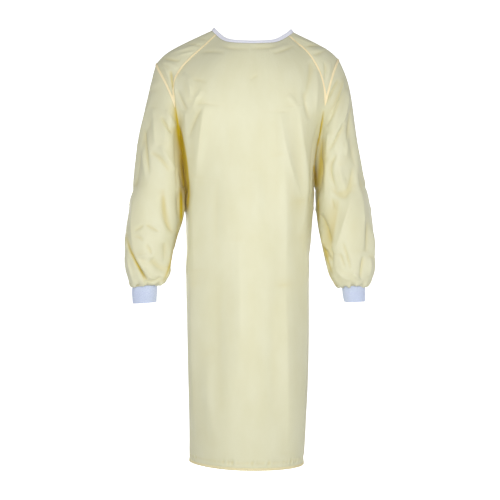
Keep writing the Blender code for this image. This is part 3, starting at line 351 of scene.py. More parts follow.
# Creases, each a parabola through three points as they appear from the front (side -1) or from
# behind (side 1), or in y and z from the wearer's right or left (sides -2 and 2): how far it
# spreads to its left and right, how far it lifts the cloth (down if negative), and how sharp its
# crest is, from 1, sharp, to 2, soft.
CREASES = text_table("""
side x0 z0 x1 z1 x2 z2 left right lift crest
-1 -125 -209 -134 -287 -148 -421 20 26 3.2 1.1
-1 -146 -411 -155 -507 -150 -666 18 26 2.2 1.4
-1 -150 -707 -162 -899 -164 -1106 16 22 2 1.5
-1 -85 -397 -95 -507 -88 -666 16 14 -0.8 1.8
-1 -88 -666 -88 -830 -81 -1071 20 16 -0.7 1.9
-1 -109 -899 -116 -1002 -95 -1140 16 14 1.0 1.9
-1 88 -231 99 -339 139 -470 22 16 3 1.1
-1 133 -212 144 -322 154 -470 22 18 3 1.1
-1 84 -349 98 -487 96 -707 22 16 2.4 1.4
-1 96 -707 100 -899 104 -1167 22 24 3.2 1.3
-1 146 -322 153 -452 139 -569 12 12 2 1.5
-1 15 -390 22 -459 15 -569 16 16 1.2 1.8
-1 -33 -583 -26 -762 -30 -968 20 20 1.4 1.8
-1 70 -727 65 -899 70 -1092 14 14 -0.5 1.9
-1 -186 -126 -167 -150 -164 -198 7 8 1.6 1.4
-1 -201 -167 -191 -198 -174 -226 7 7 -1.8 1.5
-1 -128 -170 -146 -191 -160 -226 8 8 1.2 1.5
-1 -157 -143 -140 -142 -119 -150 6 6 -0.6 1.5
-1 -177 -232 -174 -274 -164 -356 8 8 1.4 1.6
-1 -129 -219 -150 -253 -167 -305 7 7 -1.2 1.6
-1 163 -91 166 -126 149 -198 10 12 -1.8 1.6
-1 180 -116 184 -157 180 -239 8 8 1.4 1.5
-1 149 -170 153 -212 163 -253 8 8 -1.4 1.6
-1 104 -184 118 -198 129 -219 8 8 1 1.7
-1 -81 -45 -54 -54 1 -56 5 5 -0.7 1.8
-1 1 -54 39 -54 80 -50 5 5 -0.7 1.8
-1 53 -59 80 -54 104 -43 3 4 1 1.4
-1 63 -69 94 -60 122 -47 3 3 -1 1.4
-1 1 -143 12 -133 22 -129 4 4 -0.45 1.5
-1 -136 -67 -102 -64 -67 -68 5 5 -0.8 1.6
-1 -219 -68 -184 -59 -143 -51 2.5 3 0.9 1.3
-1 -201 -76 -170 -68 -153 -66 2.5 3 0.8 1.3
-1 -236 -81 -215 -87 -191 -89 3 3 -1.1 1.4
-1 -174 -43 -153 -45 -133 -48 2.5 2.5 -0.9 1.3
-1 -184 -55 -164 -51 -136 -40 2.5 2.5 0.7 1.3
-1 -146 -30 -129 -30 -119 -33 2.5 2.5 -0.7 1.3
-1 -241 -93 -219 -98 -198 -110 4 4 1.2 1.5
-1 -246 -97 -232 -116 -215 -157 4 5 1.4 1.4
-1 -219 -116 -215 -136 -210 -170 4 4 -1.6 1.4
-1 -201 -126 -205 -150 -207 -184 4 4 1.2 1.4
-1 149 -52 177 -47 204 -52 3 3 -1.2 1.4
-1 163 -62 187 -60 208 -58 3 3 0.9 1.3
-1 173 -74 189 -69 208 -60 3 3 -1.1 1.4
-1 115 -30 132 -40 139 -57 3 3 -0.9 1.4
-1 125 -23 149 -35 180 -43 3 3 0.8 1.3
-1 204 -91 208 -116 204 -140 5 4 -1.2 1.5
-1 221 -91 218 -116 211 -143 5 4 1.1 1.5
-1 -291 -274 -286 -332 -277 -401 5 4 -2 1.3
-1 -267 -219 -263 -274 -260 -325 8 9 1.8 1.5
-1 -244 -243 -229 -270 -212 -289 5 5 -2 1.4
-1 -232 -226 -215 -253 -201 -280 6 6 1.4 1.5
-1 -274 -344 -250 -356 -222 -394 5 7 -1.6 1.4
-1 -305 -315 -294 -356 -287 -411 5 5 1.4 1.5
-1 -246 -322 -232 -349 -201 -390 7 7 1.6 1.5
-1 -187 -262 -174 -358 -166 -452 4 12 1.8 1.2
-1 -282 -170 -267 -157 -246 -150 7 7 0.9 1.6
-1 244 -140 227 -170 207 -209 4 5 -2.2 1.2
-1 257 -140 247 -184 221 -232 6 5 2.4 1.3
-1 254 -164 239 -212 208 -270 4 5 -2 1.3
-1 266 -170 263 -232 239 -287 6 5 2.4 1.3
-1 257 -253 242 -294 214 -339 4 5 -2.2 1.2
-1 273 -198 273 -270 259 -325 6 6 -1.8 1.4
-1 263 -287 266 -325 266 -353 6 6 1.6 1.5
-1 239 -349 221 -390 242 -449 8 6 -2.4 1.4
-1 242 -449 266 -456 283 -380 7 8 -2.4 1.4
-1 249 -377 252 -415 266 -421 9 9 2.2 1.5
-1 214 -287 214 -315 208 -356 5 5 1.6 1.4
-1 194 -353 197 -390 190 -425 6 6 -1.8 1.5
-1 290 -322 294 -390 300 -470 7 7 1.6 1.6
-1 208 -366 208 -415 204 -470 7 7 1.5 1.6
-1 -316 -434 -321 -536 -317 -622 12 14 3.2 1.1
-1 -339 -572 -330 -616 -309 -660 4 4 2 1.3
-1 -333 -594 -320 -632 -285 -693 4 3 -2.4 1.3
-1 -335 -616 -329 -654 -318 -698 4 4 2 1.3
-1 -318 -622 -296 -657 -271 -693 4 4 2.2 1.2
-1 -309 -654 -296 -676 -285 -693 3 3 -2.2 1.3
-1 -315 -558 -304 -550 -293 -541 3 3 -1.2 1.3
-1 -287 -540 -268 -550 -249 -560 3 3 -1.8 1.3
-1 -316 -571 -304 -576 -293 -584 3 4 -1.2 1.4
-1 -286 -594 -276 -608 -270 -623 4 4 -1.2 1.4
-1 -239 -459 -232 -520 -210 -566 9 9 -3.4 1.5
-1 -190 -446 -195 -490 -190 -536 8 8 -2.5 1.5
-1 -235 -588 -234 -613 -235 -644 8 8 -1.8 1.6
-1 -274 -635 -254 -652 -232 -666 12 14 -3 1.7
-1 -309 -630 -285 -628 -265 -630 5 5 1.4 1.5
-1 -246 -685 -230 -676 -221 -660 9 9 2.4 1.6
-1 -290 -696 -263 -696 -249 -683 5 4 -2 1.4
-1 278 -451 261 -536 231 -617 16 24 4.2 1.1
-1 191 -509 208 -550 225 -594 12 9 -4.2 1.4
-1 225 -594 224 -632 228 -674 10 6 -2.6 1.4
-1 190 -547 201 -583 213 -610 6 6 2.4 1.4
-1 194 -588 208 -616 221 -641 5 5 -3.4 1.3
-1 224 -434 239 -456 265 -446 7 8 -2 1.5
-1 301 -434 307 -514 313 -610 20 12 3.4 1.1
-1 311 -627 308 -657 303 -689 5 7 -2.6 1.3
-1 327 -630 329 -652 326 -682 5 5 2 1.4
-1 256 -588 267 -627 276 -663 5 5 -1.6 1.4
-1 248 -616 254 -638 263 -660 4 4 -1.2 1.4
-1 235 -660 254 -682 276 -693 6 6 1.6 1.4
-1 282 -674 293 -682 301 -693 5 5 1.8 1.4
-1 224 -465 228 -481 234 -498 5 5 -1.2 1.5
-1 315 -528 319 -572 318 -616 7 7 -2 1.5
-1 331 -550 336 -588 333 -627 7 7 1.8 1.5
1 126 -202 135 -280 149 -414 28 22 3.0 1.1
1 142 -410 152 -506 146 -665 31 21 2.2 1.4
1 79 -380 92 -490 82 -649 9 11 -1.4 1.6
1 95 -657 92 -821 88 -1062 11 13 -1.6 1.7
1 -94 -236 -103 -344 -145 -475 15 20 2.5 1.1
1 -134 -207 -144 -317 -155 -465 20 25 2.9 1.1
1 -82 -351 -97 -489 -94 -709 20 27 2.1 1.4
1 -91 -695 -97 -887 -99 -1155 16 22 2.3 1.4
1 -152 -307 -157 -437 -145 -554 14 14 1.8 1.5
1 -9 -371 -18 -440 -9 -550 16 16 0.9 1.8
1 33 -556 26 -735 30 -941 19 19 1.3 1.8
1 -66 -740 -63 -912 -66 -1105 10 10 -0.8 1.8
1 187 -132 168 -156 165 -204 7 7 1.4 1.4
1 123 -169 143 -190 155 -225 8 8 1.1 1.5
1 152 -141 137 -140 114 -148 6 6 -1.2 1.5
1 174 -224 172 -266 161 -348 8 8 1.5 1.6
1 125 -221 148 -255 163 -307 8 8 -1.3 1.6
1 -181 -120 -185 -161 -181 -243 8 8 1.5 1.5
1 -155 -177 -157 -219 -169 -260 8 8 -1.4 1.6
1 -106 -185 -119 -199 -131 -220 9 9 1.1 1.7
1 4 -148 -9 -138 -17 -134 5 5 -0.7 1.5
1 -5 -162 -10 -163 -23 -155 5 5 -0.7 1.5
1 221 -66 185 -57 145 -49 3 2 0.8 1.3
1 235 -78 214 -84 190 -86 4 4 -0.9 1.4
1 171 -48 151 -50 130 -53 2 2 -0.9 1.3
1 151 -28 132 -28 124 -31 3 3 -0.6 1.3
1 219 -123 215 -143 210 -177 4 4 -1.3 1.4
1 200 -128 204 -152 206 -186 5 5 1.3 1.4
1 -148 -51 -177 -46 -203 -51 3 3 -1.0 1.4
1 -172 -67 -189 -62 -207 -53 3 3 -0.8 1.4
1 -205 -83 -208 -108 -205 -132 4 5 -0.9 1.5
1 -219 -87 -217 -112 -209 -139 5 6 1.1 1.5
1 290 -271 286 -329 276 -398 5 6 -2.2 1.3
1 268 -213 264 -268 261 -319 10 9 1.8 1.5
1 244 -241 229 -268 212 -287 6 6 -1.6 1.4
1 234 -222 216 -249 203 -276 7 7 1.3 1.5
1 274 -339 250 -351 222 -389 8 6 -1.3 1.4
1 246 -326 232 -353 201 -394 8 8 1.6 1.5
1 214 -291 202 -343 200 -412 6 6 -1.1 1.6
1 281 -175 266 -162 245 -155 8 8 1.0 1.6
1 -242 -143 -226 -173 -205 -212 5 4 -2.2 1.2
1 -256 -133 -246 -177 -220 -225 5 6 2.6 1.3
1 -255 -170 -239 -218 -209 -276 6 5 -1.9 1.3
1 -265 -163 -262 -225 -238 -280 5 6 2.1 1.3
1 -258 -258 -243 -299 -215 -344 6 4 -2.0 1.2
1 -274 -193 -273 -265 -260 -320 6 6 -2.1 1.4
1 -244 -446 -267 -453 -285 -377 8 7 -2.3 1.4
1 -251 -383 -253 -421 -268 -427 8 8 2.1 1.5
1 -215 -293 -215 -321 -209 -362 6 6 1.2 1.4
1 -193 -351 -197 -388 -189 -423 7 7 -1.9 1.5
1 -291 -322 -295 -390 -301 -470 6 6 1.3 1.6
1 -207 -371 -207 -420 -203 -475 7 7 1.3 1.6
1 316 -432 321 -534 317 -620 15 12 3.4 1.1
1 341 -579 331 -623 311 -667 5 5 2.2 1.3
1 333 -592 320 -630 285 -691 3 4 -2.7 1.3
1 337 -611 330 -649 320 -693 4 4 2.3 1.3
1 317 -618 295 -653 270 -689 4 4 2.4 1.2
1 308 -648 295 -670 284 -687 4 4 -2.5 1.3
1 286 -533 268 -543 248 -553 3 3 -2.0 1.3
1 240 -459 233 -520 211 -566 11 11 -2.6 1.5
1 234 -591 233 -616 234 -647 8 8 -1.9 1.6
1 274 -631 254 -648 232 -662 16 14 -3.3 1.7
1 309 -623 285 -621 265 -623 5 5 1.1 1.5
1 245 -681 229 -672 220 -656 10 10 2.4 1.6
1 290 -699 263 -699 249 -686 5 6 -1.8 1.4
1 -279 -445 -262 -530 -232 -611 26 17 4.8 1.1
1 -192 -508 -209 -549 -226 -593 10 13 -4.0 1.4
1 -190 -549 -201 -585 -213 -612 7 7 2.6 1.4
1 -193 -595 -208 -623 -220 -648 5 5 -3.3 1.3
1 -222 -438 -238 -460 -263 -450 8 7 -1.9 1.5
1 -300 -428 -306 -508 -312 -604 12 20 3.2 1.1
1 -311 -620 -308 -650 -303 -682 8 6 -2.1 1.3
1 -257 -585 -268 -624 -277 -660 5 5 -1.4 1.4
1 -250 -612 -255 -634 -265 -656 4 4 -1.0 1.4
1 -236 -660 -255 -682 -277 -693 6 6 1.5 1.4
1 -282 -679 -293 -687 -301 -694 6 6 1.5 1.4
1 -224 -459 -228 -475 -234 -492 6 6 -1.2 1.5
1 -314 -523 -318 -567 -317 -611 7 7 -2.2 1.5
1 -329 -555 -335 -593 -331 -632 8 8 2.1 1.5
-2 -40 -180 -25 -300 -30 -430 12 14 1.4 1.5
-2 20 -150 32 -260 14 -400 12 10 -1.2 1.6
-2 -10 -370 12 -480 -6 -600 12 14 1.4 1.5
-2 36 -300 20 -420 26 -560 10 9 1.1 1.4
-2 -62 -240 -50 -350 -60 -470 9 8 -1.0 1.5
-2 -56 -415 -20 -452 30 -432 7 7 -1.1 1.4
-2 -48 -462 -12 -486 26 -506 6 7 1.1 1.3
-2 -60 -612 -40 -652 -36 -692 4 5 1.1 1.3
-2 0 -600 6 -652 -6 -694 5 4 -1.0 1.3
-2 30 -622 24 -660 10 -692 4 4 1.1 1.3
-2 -50 -520 -59 -800 -52 -1120 20 17 1.4 1.5
-2 4 -560 13 -820 3 -1150 15 17 -1.2 1.6
-2 60 -540 71 -850 62 -1130 18 22 1.5 1.4
-2 31 -700 37 -900 26 -1158 11 12 0.9 1.6
2 -34 -170 -44 -280 -28 -410 13 12 1.3 1.5
2 26 -190 14 -300 24 -440 10 12 -1.1 1.6
2 -4 -400 -18 -500 2 -622 13 12 1.5 1.5
2 40 -280 30 -390 38 -520 9 10 1.1 1.4
2 -58 -260 -66 -380 -54 -490 8 9 -1.0 1.5
2 -50 -395 -10 -440 34 -410 7 6 -1.2 1.3
2 36 -452 6 -490 -30 -498 7 6 1.0 1.4
2 -52 -606 -44 -650 -26 -688 5 4 1.0 1.3
2 8 -616 0 -660 6 -694 4 5 -1.1 1.3
2 34 -600 30 -650 16 -690 5 4 1.1 1.3
2 -56 -500 -48 -780 -58 -1100 18 20 1.5 1.5
2 -2 -590 -12 -860 0 -1158 16 14 -1.1 1.6
2 66 -520 58 -800 68 -1110 20 18 1.3 1.4
2 28 -760 22 -950 32 -1156 12 11 1.0 1.6
""")

# Painted shade: the cloth is painted deep gold in the valleys between the sleeves and the body and
# along the sleeves' inner edges. The columns are those of the creases, with how deep the painted
# gold is.
GOLD_PAINTED_SHADE = text_table("""
side x0 z0 x1 z1 x2 z2 left right lift crest
-1 -207 -200 -195 -275 -181 -335 8 1.8 1.2 1.5
-1 -194 -265 -176 -358 -168 -448 15 2 1.6 1.4
-1 -191 -435 -189 -488 -190 -548 5 4 1.3 1.8
-1 -185 -345 -179 -410 -171 -470 8 7 1.1 2.0
-1 -172 -425 -170 -465 -171 -505 5 4 1.0 1.8
-1 -171 -410 -173 -470 -182 -528 8 4 0.7 1.6
-1 -219 -118 -213 -160 -206 -212 3 3 0.5 1.8
-1 202 -225 194 -280 185 -325 2 3 1.1 1.5
-1 188 -300 181 -345 175 -395 1.5 2 0.8 1.5
-1 174 -375 177 -408 181 -440 2 6 1.3 2.0
-1 199 -300 192 -390 185 -455 7 12 0.8 1.8
-1 187 -440 187 -495 188 -548 3 4 1.0 1.5
-1 190 -555 209 -663 243 -712 3 4 1.0 1.4
-1 202 -590 213 -635 228 -680 3 3 0.6 1.5
-1 243 -470 228 -560 212 -650 24 5 0.36 1.8
-1 257 -135 245 -184 217 -240 5 3 0.3 1.5
-1 -196 -530 -212 -624 -240 -700 4 4 0.9 1.4
-1 -343 -565 -318 -632 -279 -695 3 3 0.7 1.4
-1 -241 -440 -234 -490 -221 -560 9 6 0.28 1.8
-1 -318 -640 -300 -668 -290 -700 3 3 0.4 1.5
""")

# Lamps: where each stands and how wide it is, in metres, and its power as a share of the key's.
LAMP_NAMES = ("key_light", "fill_right", "fill_left", "top_light", "back_right", "back_left")
LAMPS = table(
    "x     y     z      size  power",
    (0.03, -1.7, -0.36, 0.90, 0.88),
    (-2.3, -1.6, -0.10, 1.40, 0.55),
    (2.3,  -1.6, -0.10, 1.40, 0.70),
    (0.0,  -0.4, 1.60,  1.20, 0.02),
    (-1.0, 1.75, -0.30, 1.00, 0.90),
    (1.2,  1.70, -0.50, 1.00, 0.35),
)
LAMP_AIM = (0.0, 0.0, -0.42)
FLOOR_Z = -1450.0      # the wearer's shoulders are this far above the floor
PAPER_SHOWN = 1.0      # how brightly the paper glows where it is looked at
PAPER_LIGHT = 0.0      # and as it lights the gown
PAPER_NEAR, PAPER_FAR = -5200.0, 5200.0
PAPER_BEND = 1500.0    # radius of the sweep's bend
PAPER_TOP = 5500.0
PAPER_HALF = 7500.0    # half its width
LENS = 86.4            # focal length on a sensor 36 mm wide


def spline(keys, at):
    """Cubic Hermite curve through the rows of keys, which stand at 0, 1, 2 and so on."""
    keys = np.asarray(keys, float)
    slopes = np.gradient(keys, axis=0)
    low = np.clip(np.floor(at).astype(int), 0, len(keys) - 2)
    t = (np.asarray(at) - low)[:, None]
    return ((2 * t**3 - 3 * t**2 + 1) * keys[low] + (t**3 - 2 * t**2 + t) * slopes[low]
            + (3 * t**2 - 2 * t**3) * keys[low + 1] + (t**3 - t**2) * slopes[low + 1])


def run_length(line):
    """Distance along a line of points, from its start to each point."""
    return np.concatenate([[0], np.cumsum(np.linalg.norm(np.diff(line, axis=0), axis=1))])


def read_line(line, length, at):
    """The line's points, or the normals that go with them, at these distances along it."""
    return np.stack([np.interp(at, length, column) for column in line.T], axis=1)


def along(keys, shares):
    """Points at these shares of the length of the curve through the keys."""
    fine = spline(keys, np.linspace(0, len(keys) - 1, CURVE_STEPS * len(keys)))
    length = run_length(fine)
    return read_line(fine, length, np.asarray(shares) * length[-1])


def lookup(rows, name, z):
    """A column of the body table at height z."""
    return np.interp(z, rows["z"], rows[name])


def unit(vectors):
    """The vectors, each divided by its length."""
    length = np.linalg.norm(vectors, axis=-1, keepdims=True)
    return vectors / np.maximum(length, 1e-9)


def coons(bottom, top, start, end, u, v):
    """The patch between four edges: bottom and top run along u, start and end along v."""
    u = u[None, :, None]
    v = v[:, None, None]
    corners = ((1 - u) * (1 - v) * bottom[0] + u * (1 - v) * bottom[-1]
               + (1 - u) * v * top[0] + u * v * top[-1])
    return ((1 - v) * bottom[None] + v * top[None]
            + (1 - u) * start[:, None] + u * end[:, None] - corners)


def hem_z(x):
    """Height of the sloping hem at x."""
    return HEM_Z + HEM_SLOPE * x


def skirt_half(side, facing, columns):
    """Rows from the hem to the underarm, each from the side seam to the centre. Facing is -1 for
    the front. Every row is a quarter of an ellipse, pinched or squared by the table's power."""
    seam_x, power_name = ("right_x", "right_power") if side == RIGHT else ("left_x", "left_power")
    underarm = points(VALLEY_FRONT[side])[0]
    middle = points(CENTRE_FRONT if facing == FRONT else CENTRE_BACK)[0]
    shares = np.concatenate([[0], np.linspace(HEM_ROW, 1, SKIRT_ROWS)])
    angle = np.linspace(0, np.pi / 2, columns + 1)
    rows = []
    for share in shares:
        level = (1 - share) * HEM_Z + share * underarm[2]
        x_seam = underarm[0] if share == 1 else lookup(BODY, seam_x, level)
        x_mid = (lookup(BODY, "right_x", level) + lookup(BODY, "left_x", level)) / 2
        x_mid = (1 - share) * x_mid + share * middle[0]
        y_seam = lookup(BODY, "side_y", level)
        late = share**MIDDLE_BLEND
        y_mid = lookup(BODY, "front_y" if facing == FRONT else "back_y", level)
        y_mid = (1 - late) * y_mid + late * middle[1]
        power = lookup(BODY, power_name, level)
        x = x_mid + (x_seam - x_mid) * np.cos(angle)
        y = y_seam + (y_mid - y_seam) * np.sin(angle) ** power
        top = underarm[2] + (middle[2] - underarm[2]) * np.sin(angle)
        rows.append(np.stack([x, y, (1 - share) * hem_z(x) + share * top], axis=1))
    return np.array(rows)


def upper_half(side, facing, columns, underarm_row):
    """Rows from the underarm to the neck seam, each from the armhole or raglan seam to the
    centre."""
    valley, raglan, centre, neck = (
        (VALLEY_FRONT, RAGLAN_FRONT, CENTRE_FRONT, NECK_SEAM_FRONT) if facing == FRONT
        else (VALLEY_BACK, RAGLAN_BACK, CENTRE_BACK, NECK_SEAM_BACK))
    seam = np.concatenate([
        along(points(valley[side]), np.linspace(0, 1, VALLEY_ROWS + 1)),
        along(points(raglan[side]), 1 - RAGLAN_SHARES[::-1])[1:]])
    length = run_length(seam)
    v = length / length[-1]
    middle = along(points(centre), v)
    neck_keys = points(neck)
    half = 1 + len(neck_keys) // 2
    top_keys = neck_keys[:half] if side == RIGHT else neck_keys[::-1][:half]
    u = np.linspace(0, 1, columns + 1)
    return coons(underarm_row, along(top_keys, u), seam, middle, u, v)


def body_grid(facing, columns):
    """The whole front or back: rows from hem to neck, columns from the right seam to the left."""
    halves = []
    for side in (RIGHT, LEFT):
        skirt = skirt_half(side, facing, columns)
        upper = upper_half(side, facing, columns, skirt[-1])
        halves.append(np.concatenate([skirt, upper[1:]]))
    right, left = halves
    right[:, -1] = left[:, -1] = (right[:, -1] + left[:, -1]) / 2
    return np.concatenate([right, left[:, -2::-1]], axis=1)


def yoke_grid(side):
    """Rows from the neck to the sleeve head, columns from the front raglan to the back raglan."""
    shoulder = along(points(SHOULDER_LINE[side]), RAGLAN_SHARES)
    side_keys = points(NECK_SEAM_SIDE[side])
    top = len(side_keys) // 2
    front = coons(along(side_keys[:top + 1], CAP_SHARES),
                  along(points(HEAD_FRONT[side]), CAP_SHARES),
                  along(points(RAGLAN_FRONT[side])[::-1], RAGLAN_SHARES), shoulder,
                  CAP_SHARES, RAGLAN_SHARES)
    back = coons(along(side_keys[top:][::-1], CAP_SHARES),
                 along(points(HEAD_BACK[side])[::-1], CAP_SHARES),
                 along(points(RAGLAN_BACK[side])[::-1], RAGLAN_SHARES), shoulder,
                 CAP_SHARES, RAGLAN_SHARES)
    return np.concatenate([front, back[:, -2::-1]], axis=1)


def ring(row, count):
    """One sleeve or cuff section: an ellipse through its inner edge, front, outer edge and back."""
    outer = np.array([row["outer_x"], 0, row["outer_z"]])
    inner = np.array([row["inner_x"], 0, row["inner_z"]])
    angle = np.linspace(0, 2 * np.pi, count, endpoint=False)
    depth = np.where(np.sin(angle) > 0, -row["front"], row["back"]) * np.abs(np.sin(angle))
    section = (outer + inner) / 2 + np.outer(np.cos(angle), (inner - outer) / 2)
    section[:, 1] = row["mid_y"] + depth
    return section


def ring_rows(rows, at):
    """The table's columns read between its rows, one dictionary a ring."""
    names = list(rows)
    values = spline(np.stack([rows[name] for name in names], axis=1), at)
    return [dict(zip(names, value)) for value in values]


def sleeve_grid(side, armhole):
    """Rings from the armhole to the cuff. The armhole's own outline fades out down the sleeve."""
    count = len(armhole)
    rows = ring_rows(SLEEVE[side], SLEEVE_RINGS)
    rings = [ring(row, count) for row in rows]
    extra = armhole - rings[0]
    for index, at in enumerate(SLEEVE_RINGS):
        keep_across = max(0.0, 1 - at / HEAD_KEEP_ACROSS) ** HEAD_KEEP_POWER
        keep_depth = max(0.0, 1 - at / HEAD_KEEP_DEPTH) ** HEAD_KEEP_POWER
        rings[index] = rings[index] + extra * np.array([keep_across, keep_depth, keep_across])
    return np.array(rings)


def armhole_ring(front, back, yoke, side):
    """The closed armhole: up the front from the underarm, over the sleeve head, down the back."""
    column = 0 if side == RIGHT else -1
    first = SKIRT_ROWS
    tip = first + VALLEY_ROWS
    return np.concatenate([front[first:tip, column], yoke[-1], back[tip - 1:first:-1, column]])


def fold_lift(vertices, normals):
    """How far the soft folds lift each point: a rounded ridge along each crease line, which
    fades at both ends and where the cloth turns away from that side."""
    lift = np.zeros(len(vertices))
    for row in zip(*FOLDS.values()):
        side, x0, z0, x1, z1, left, right, height = row
        way = np.array([x1 - x0, z1 - z0])
        offset = vertices[:, [0, 2]] - (x0, z0)
        share = offset @ way / (way @ way)
        across = offset[:, 0] - share * way[0]
        width = np.where(across < 0, left, right)
        ends = np.clip(share / FOLD_ENDS, 0, 1) * np.clip((1 - share) / FOLD_ENDS, 0, 1)
        ends = ends * ends * (3 - 2 * ends)
        facing = np.clip(side * normals[:, 1] * FOLD_FACING, 0, 1)
        lift += height * np.exp(-(across / width) ** 2) * ends * facing
    return lift


def set_tape_widths(grids):
    """Moves the rows and columns beside the seams to where the tapes' other edges are."""
    for side in (RIGHT, LEFT):
        yoke = grids[f"yoke_{side}"]
        widths = np.linspace(SEAM_TAPE_NECK, SEAM_TAPE_TIP, len(yoke))[:, None]
        yoke[:-1, 1] = (yoke[:, 0] + widths * unit(yoke[:, 2] - yoke[:, 0]))[:-1]
        yoke[:-1, -2] = (yoke[:, -1] + widths * unit(yoke[:, -3] - yoke[:, -1]))[:-1]
        inner = slice(1, -1)
        yoke[-2, inner] = (yoke[-1] + SEAM_TAPE_TIP * unit(yoke[-3] - yoke[-1]))[inner]
    for name in ("front", "back"):
        grid = grids[name]
        grid[1] = grid[0] + HEM_TAPE_WIDTH * unit(grid[2] - grid[0])


def cells(index, wrap=False, flip=False):
    """Four-sided faces of a net of point numbers, turned so that they face out of the gown."""
    right = np.roll(index, -1, axis=1) if wrap else index[:, 1:]
    left = index if wrap else index[:, :-1]
    faces = np.stack([left[:-1], right[:-1], right[1:], left[1:]], axis=2).reshape(-1, 4)
    return faces[:, ::-1] if flip else faces


def weld(grids):
    """(the nets as point numbers in one shared list, the shared points)."""
    stacked = np.concatenate([g.reshape(-1, 3) for g in grids])
    _, first, number = np.unique(np.round(stacked, 3), axis=0, return_index=True,
                                 return_inverse=True)
    ends = np.cumsum([g.size // 3 for g in grids])[:-1]
    numbers = np.split(number.reshape(-1), ends)
    return [n.reshape(g.shape[:2]) for n, g in zip(numbers, grids)], stacked[first]


def edge_list(faces):
    """(each edge once with its lower point first, how many faces use it, the edge of each
    face's side)."""
    ends = np.sort(np.stack([faces, np.roll(faces, -1, axis=1)], axis=2).reshape(-1, 2), axis=1)
    edges, sides, uses = np.unique(ends, axis=0, return_inverse=True, return_counts=True)
    return edges, uses, sides.reshape(-1)


def gathered(where, values, count):
    """Sum of the rows of values that go to each of count places."""
    return np.stack([np.bincount(where, column, count) for column in values.T], axis=1)


def fair(index, shared, wraps, held, rounds=6, inward=0.5, outward=-0.52):
    """Smooths all the nets together. Each round moves every point that isn't held towards the
    middle of its neighbours and then nearly as far back, which keeps the size."""
    faces = np.concatenate([cells(i, w) for i, w in zip(index, wraps)])
    edges, uses, _ = edge_list(faces)
    held = held.copy()
    held[edges[uses == 1]] = True
    both = np.concatenate([edges, edges[:, ::-1]])
    count = np.bincount(both[:, 0], minlength=len(shared))[:, None]
    for _ in range(rounds):
        for step in (inward, outward):
            total = gathered(both[:, 0], shared[both[:, 1]], len(shared))
            move = step * (total / count - shared)
            move[held] = 0
            shared = shared + move
    return shared


def divide(index, wraps, shared):
    """One round of Catmull-Clark division of all the nets together: a new point in each cell's
    middle, one on each edge, and the old points drawn towards them. On a free edge only the
    points of that edge count."""
    faces = np.concatenate([cells(i, w) for i, w in zip(index, wraps)])
    edges, uses, sides = edge_list(faces)
    count, edge_count = len(shared), len(edges)
    centres = shared[faces].mean(axis=1)
    middles = shared[edges].mean(axis=1)
    inside = uses == 2
    beside = gathered(sides, np.repeat(centres, 4, axis=0), edge_count)
    on_edges = np.where(inside[:, None], (2 * middles + beside) / 4, middles)
    valence = np.bincount(edges.reshape(-1), minlength=count)[:, None]
    around = gathered(edges.reshape(-1), np.repeat(middles, 2, axis=0), count) / valence
    in_faces = np.bincount(faces.reshape(-1), minlength=count)[:, None]
    centre = gathered(faces.reshape(-1), np.repeat(centres, 4, axis=0), count) / in_faces
    moved = (centre + 2 * around + (valence - 3) * shared) / valence
    free = edges[~inside]
    along_edge = gathered(free.reshape(-1), shared[free[:, ::-1]].reshape(-1, 3), count)
    on_free = np.bincount(free.reshape(-1), minlength=count) == 2
    moved[on_free] = 0.75 * shared[on_free] + 0.125 * along_edge[on_free]
    codes = edges[:, 0] * count + edges[:, 1]

    def edge_number(a, b):
        low, high = np.minimum(a, b), np.maximum(a, b)
        return count + np.searchsorted(codes, low * count + high)

    finer, start = [], count + edge_count
    for net, wrap in zip(index, wraps):
        rows, columns = net.shape
        right = np.roll(net, -1, axis=1) if wrap else net[:, 1:]
        left = net if wrap else net[:, :-1]
        made = np.zeros((2 * rows - 1, 2 * columns - (0 if wrap else 1)), int)
        made[::2, ::2] = net
        made[::2, 1::2] = edge_number(left, right)
        made[1::2, ::2] = edge_number(net[:-1], net[1:])
        size = (rows - 1) * left.shape[1]
        made[1::2, 1::2] = start + np.arange(size).reshape(rows - 1, -1)
        start += size
        finer.append(made)
    return finer, np.concatenate([moved, on_edges, centres])


def point_normals(faces, shared):
    """Unit normals of the points: each is the sum of its faces' areas times directions."""
    a, b, c, d = (shared[faces[:, k]] for k in range(4))
    across = np.cross(c - a, d - b)
    return unit(gathered(faces.reshape(-1), np.repeat(across, 4, axis=0), len(shared)))


def seen(places, normals, side):
    """(where points appear, how squarely they face the eye). From the front (side -1) and from
    behind (side 1) it is x and z on the plane through the shoulders: a point's distance from the
    eye's line, shrunk by how much nearer or further it is. From the wearer's right (side -2) and
    left (side 2) it is just y and z."""
    if abs(side) == 2:
        return places[:, 1:], side / 2 * normals[:, 0]
    scale = EYE_DISTANCE / (EYE_DISTANCE - side * places[:, 1])
    flat = np.stack([places[:, 0] * scale, EYE_Z + (places[:, 2] - EYE_Z) * scale], axis=1)
    return flat, side * normals[:, 1]


def smooth(low, high, values):
    """0 below low and 1 above high, with 3 t^2 - 2 t^3 between them."""
    share = np.clip((values - low) / (high - low), 0, 1)
    return share * share * (3 - 2 * share)


def crease_line(row):
    """Nine points of the parabola through a crease's three points."""
    t = np.linspace(0, 1, 9)[:, None]
    a, b, c = (np.array([row[f"x{k}"], row[f"z{k}"]]) for k in range(3))
    return (1 - t) * (1 - 2 * t) * a + 4 * t * (1 - t) * b + t * (2 * t - 1) * c


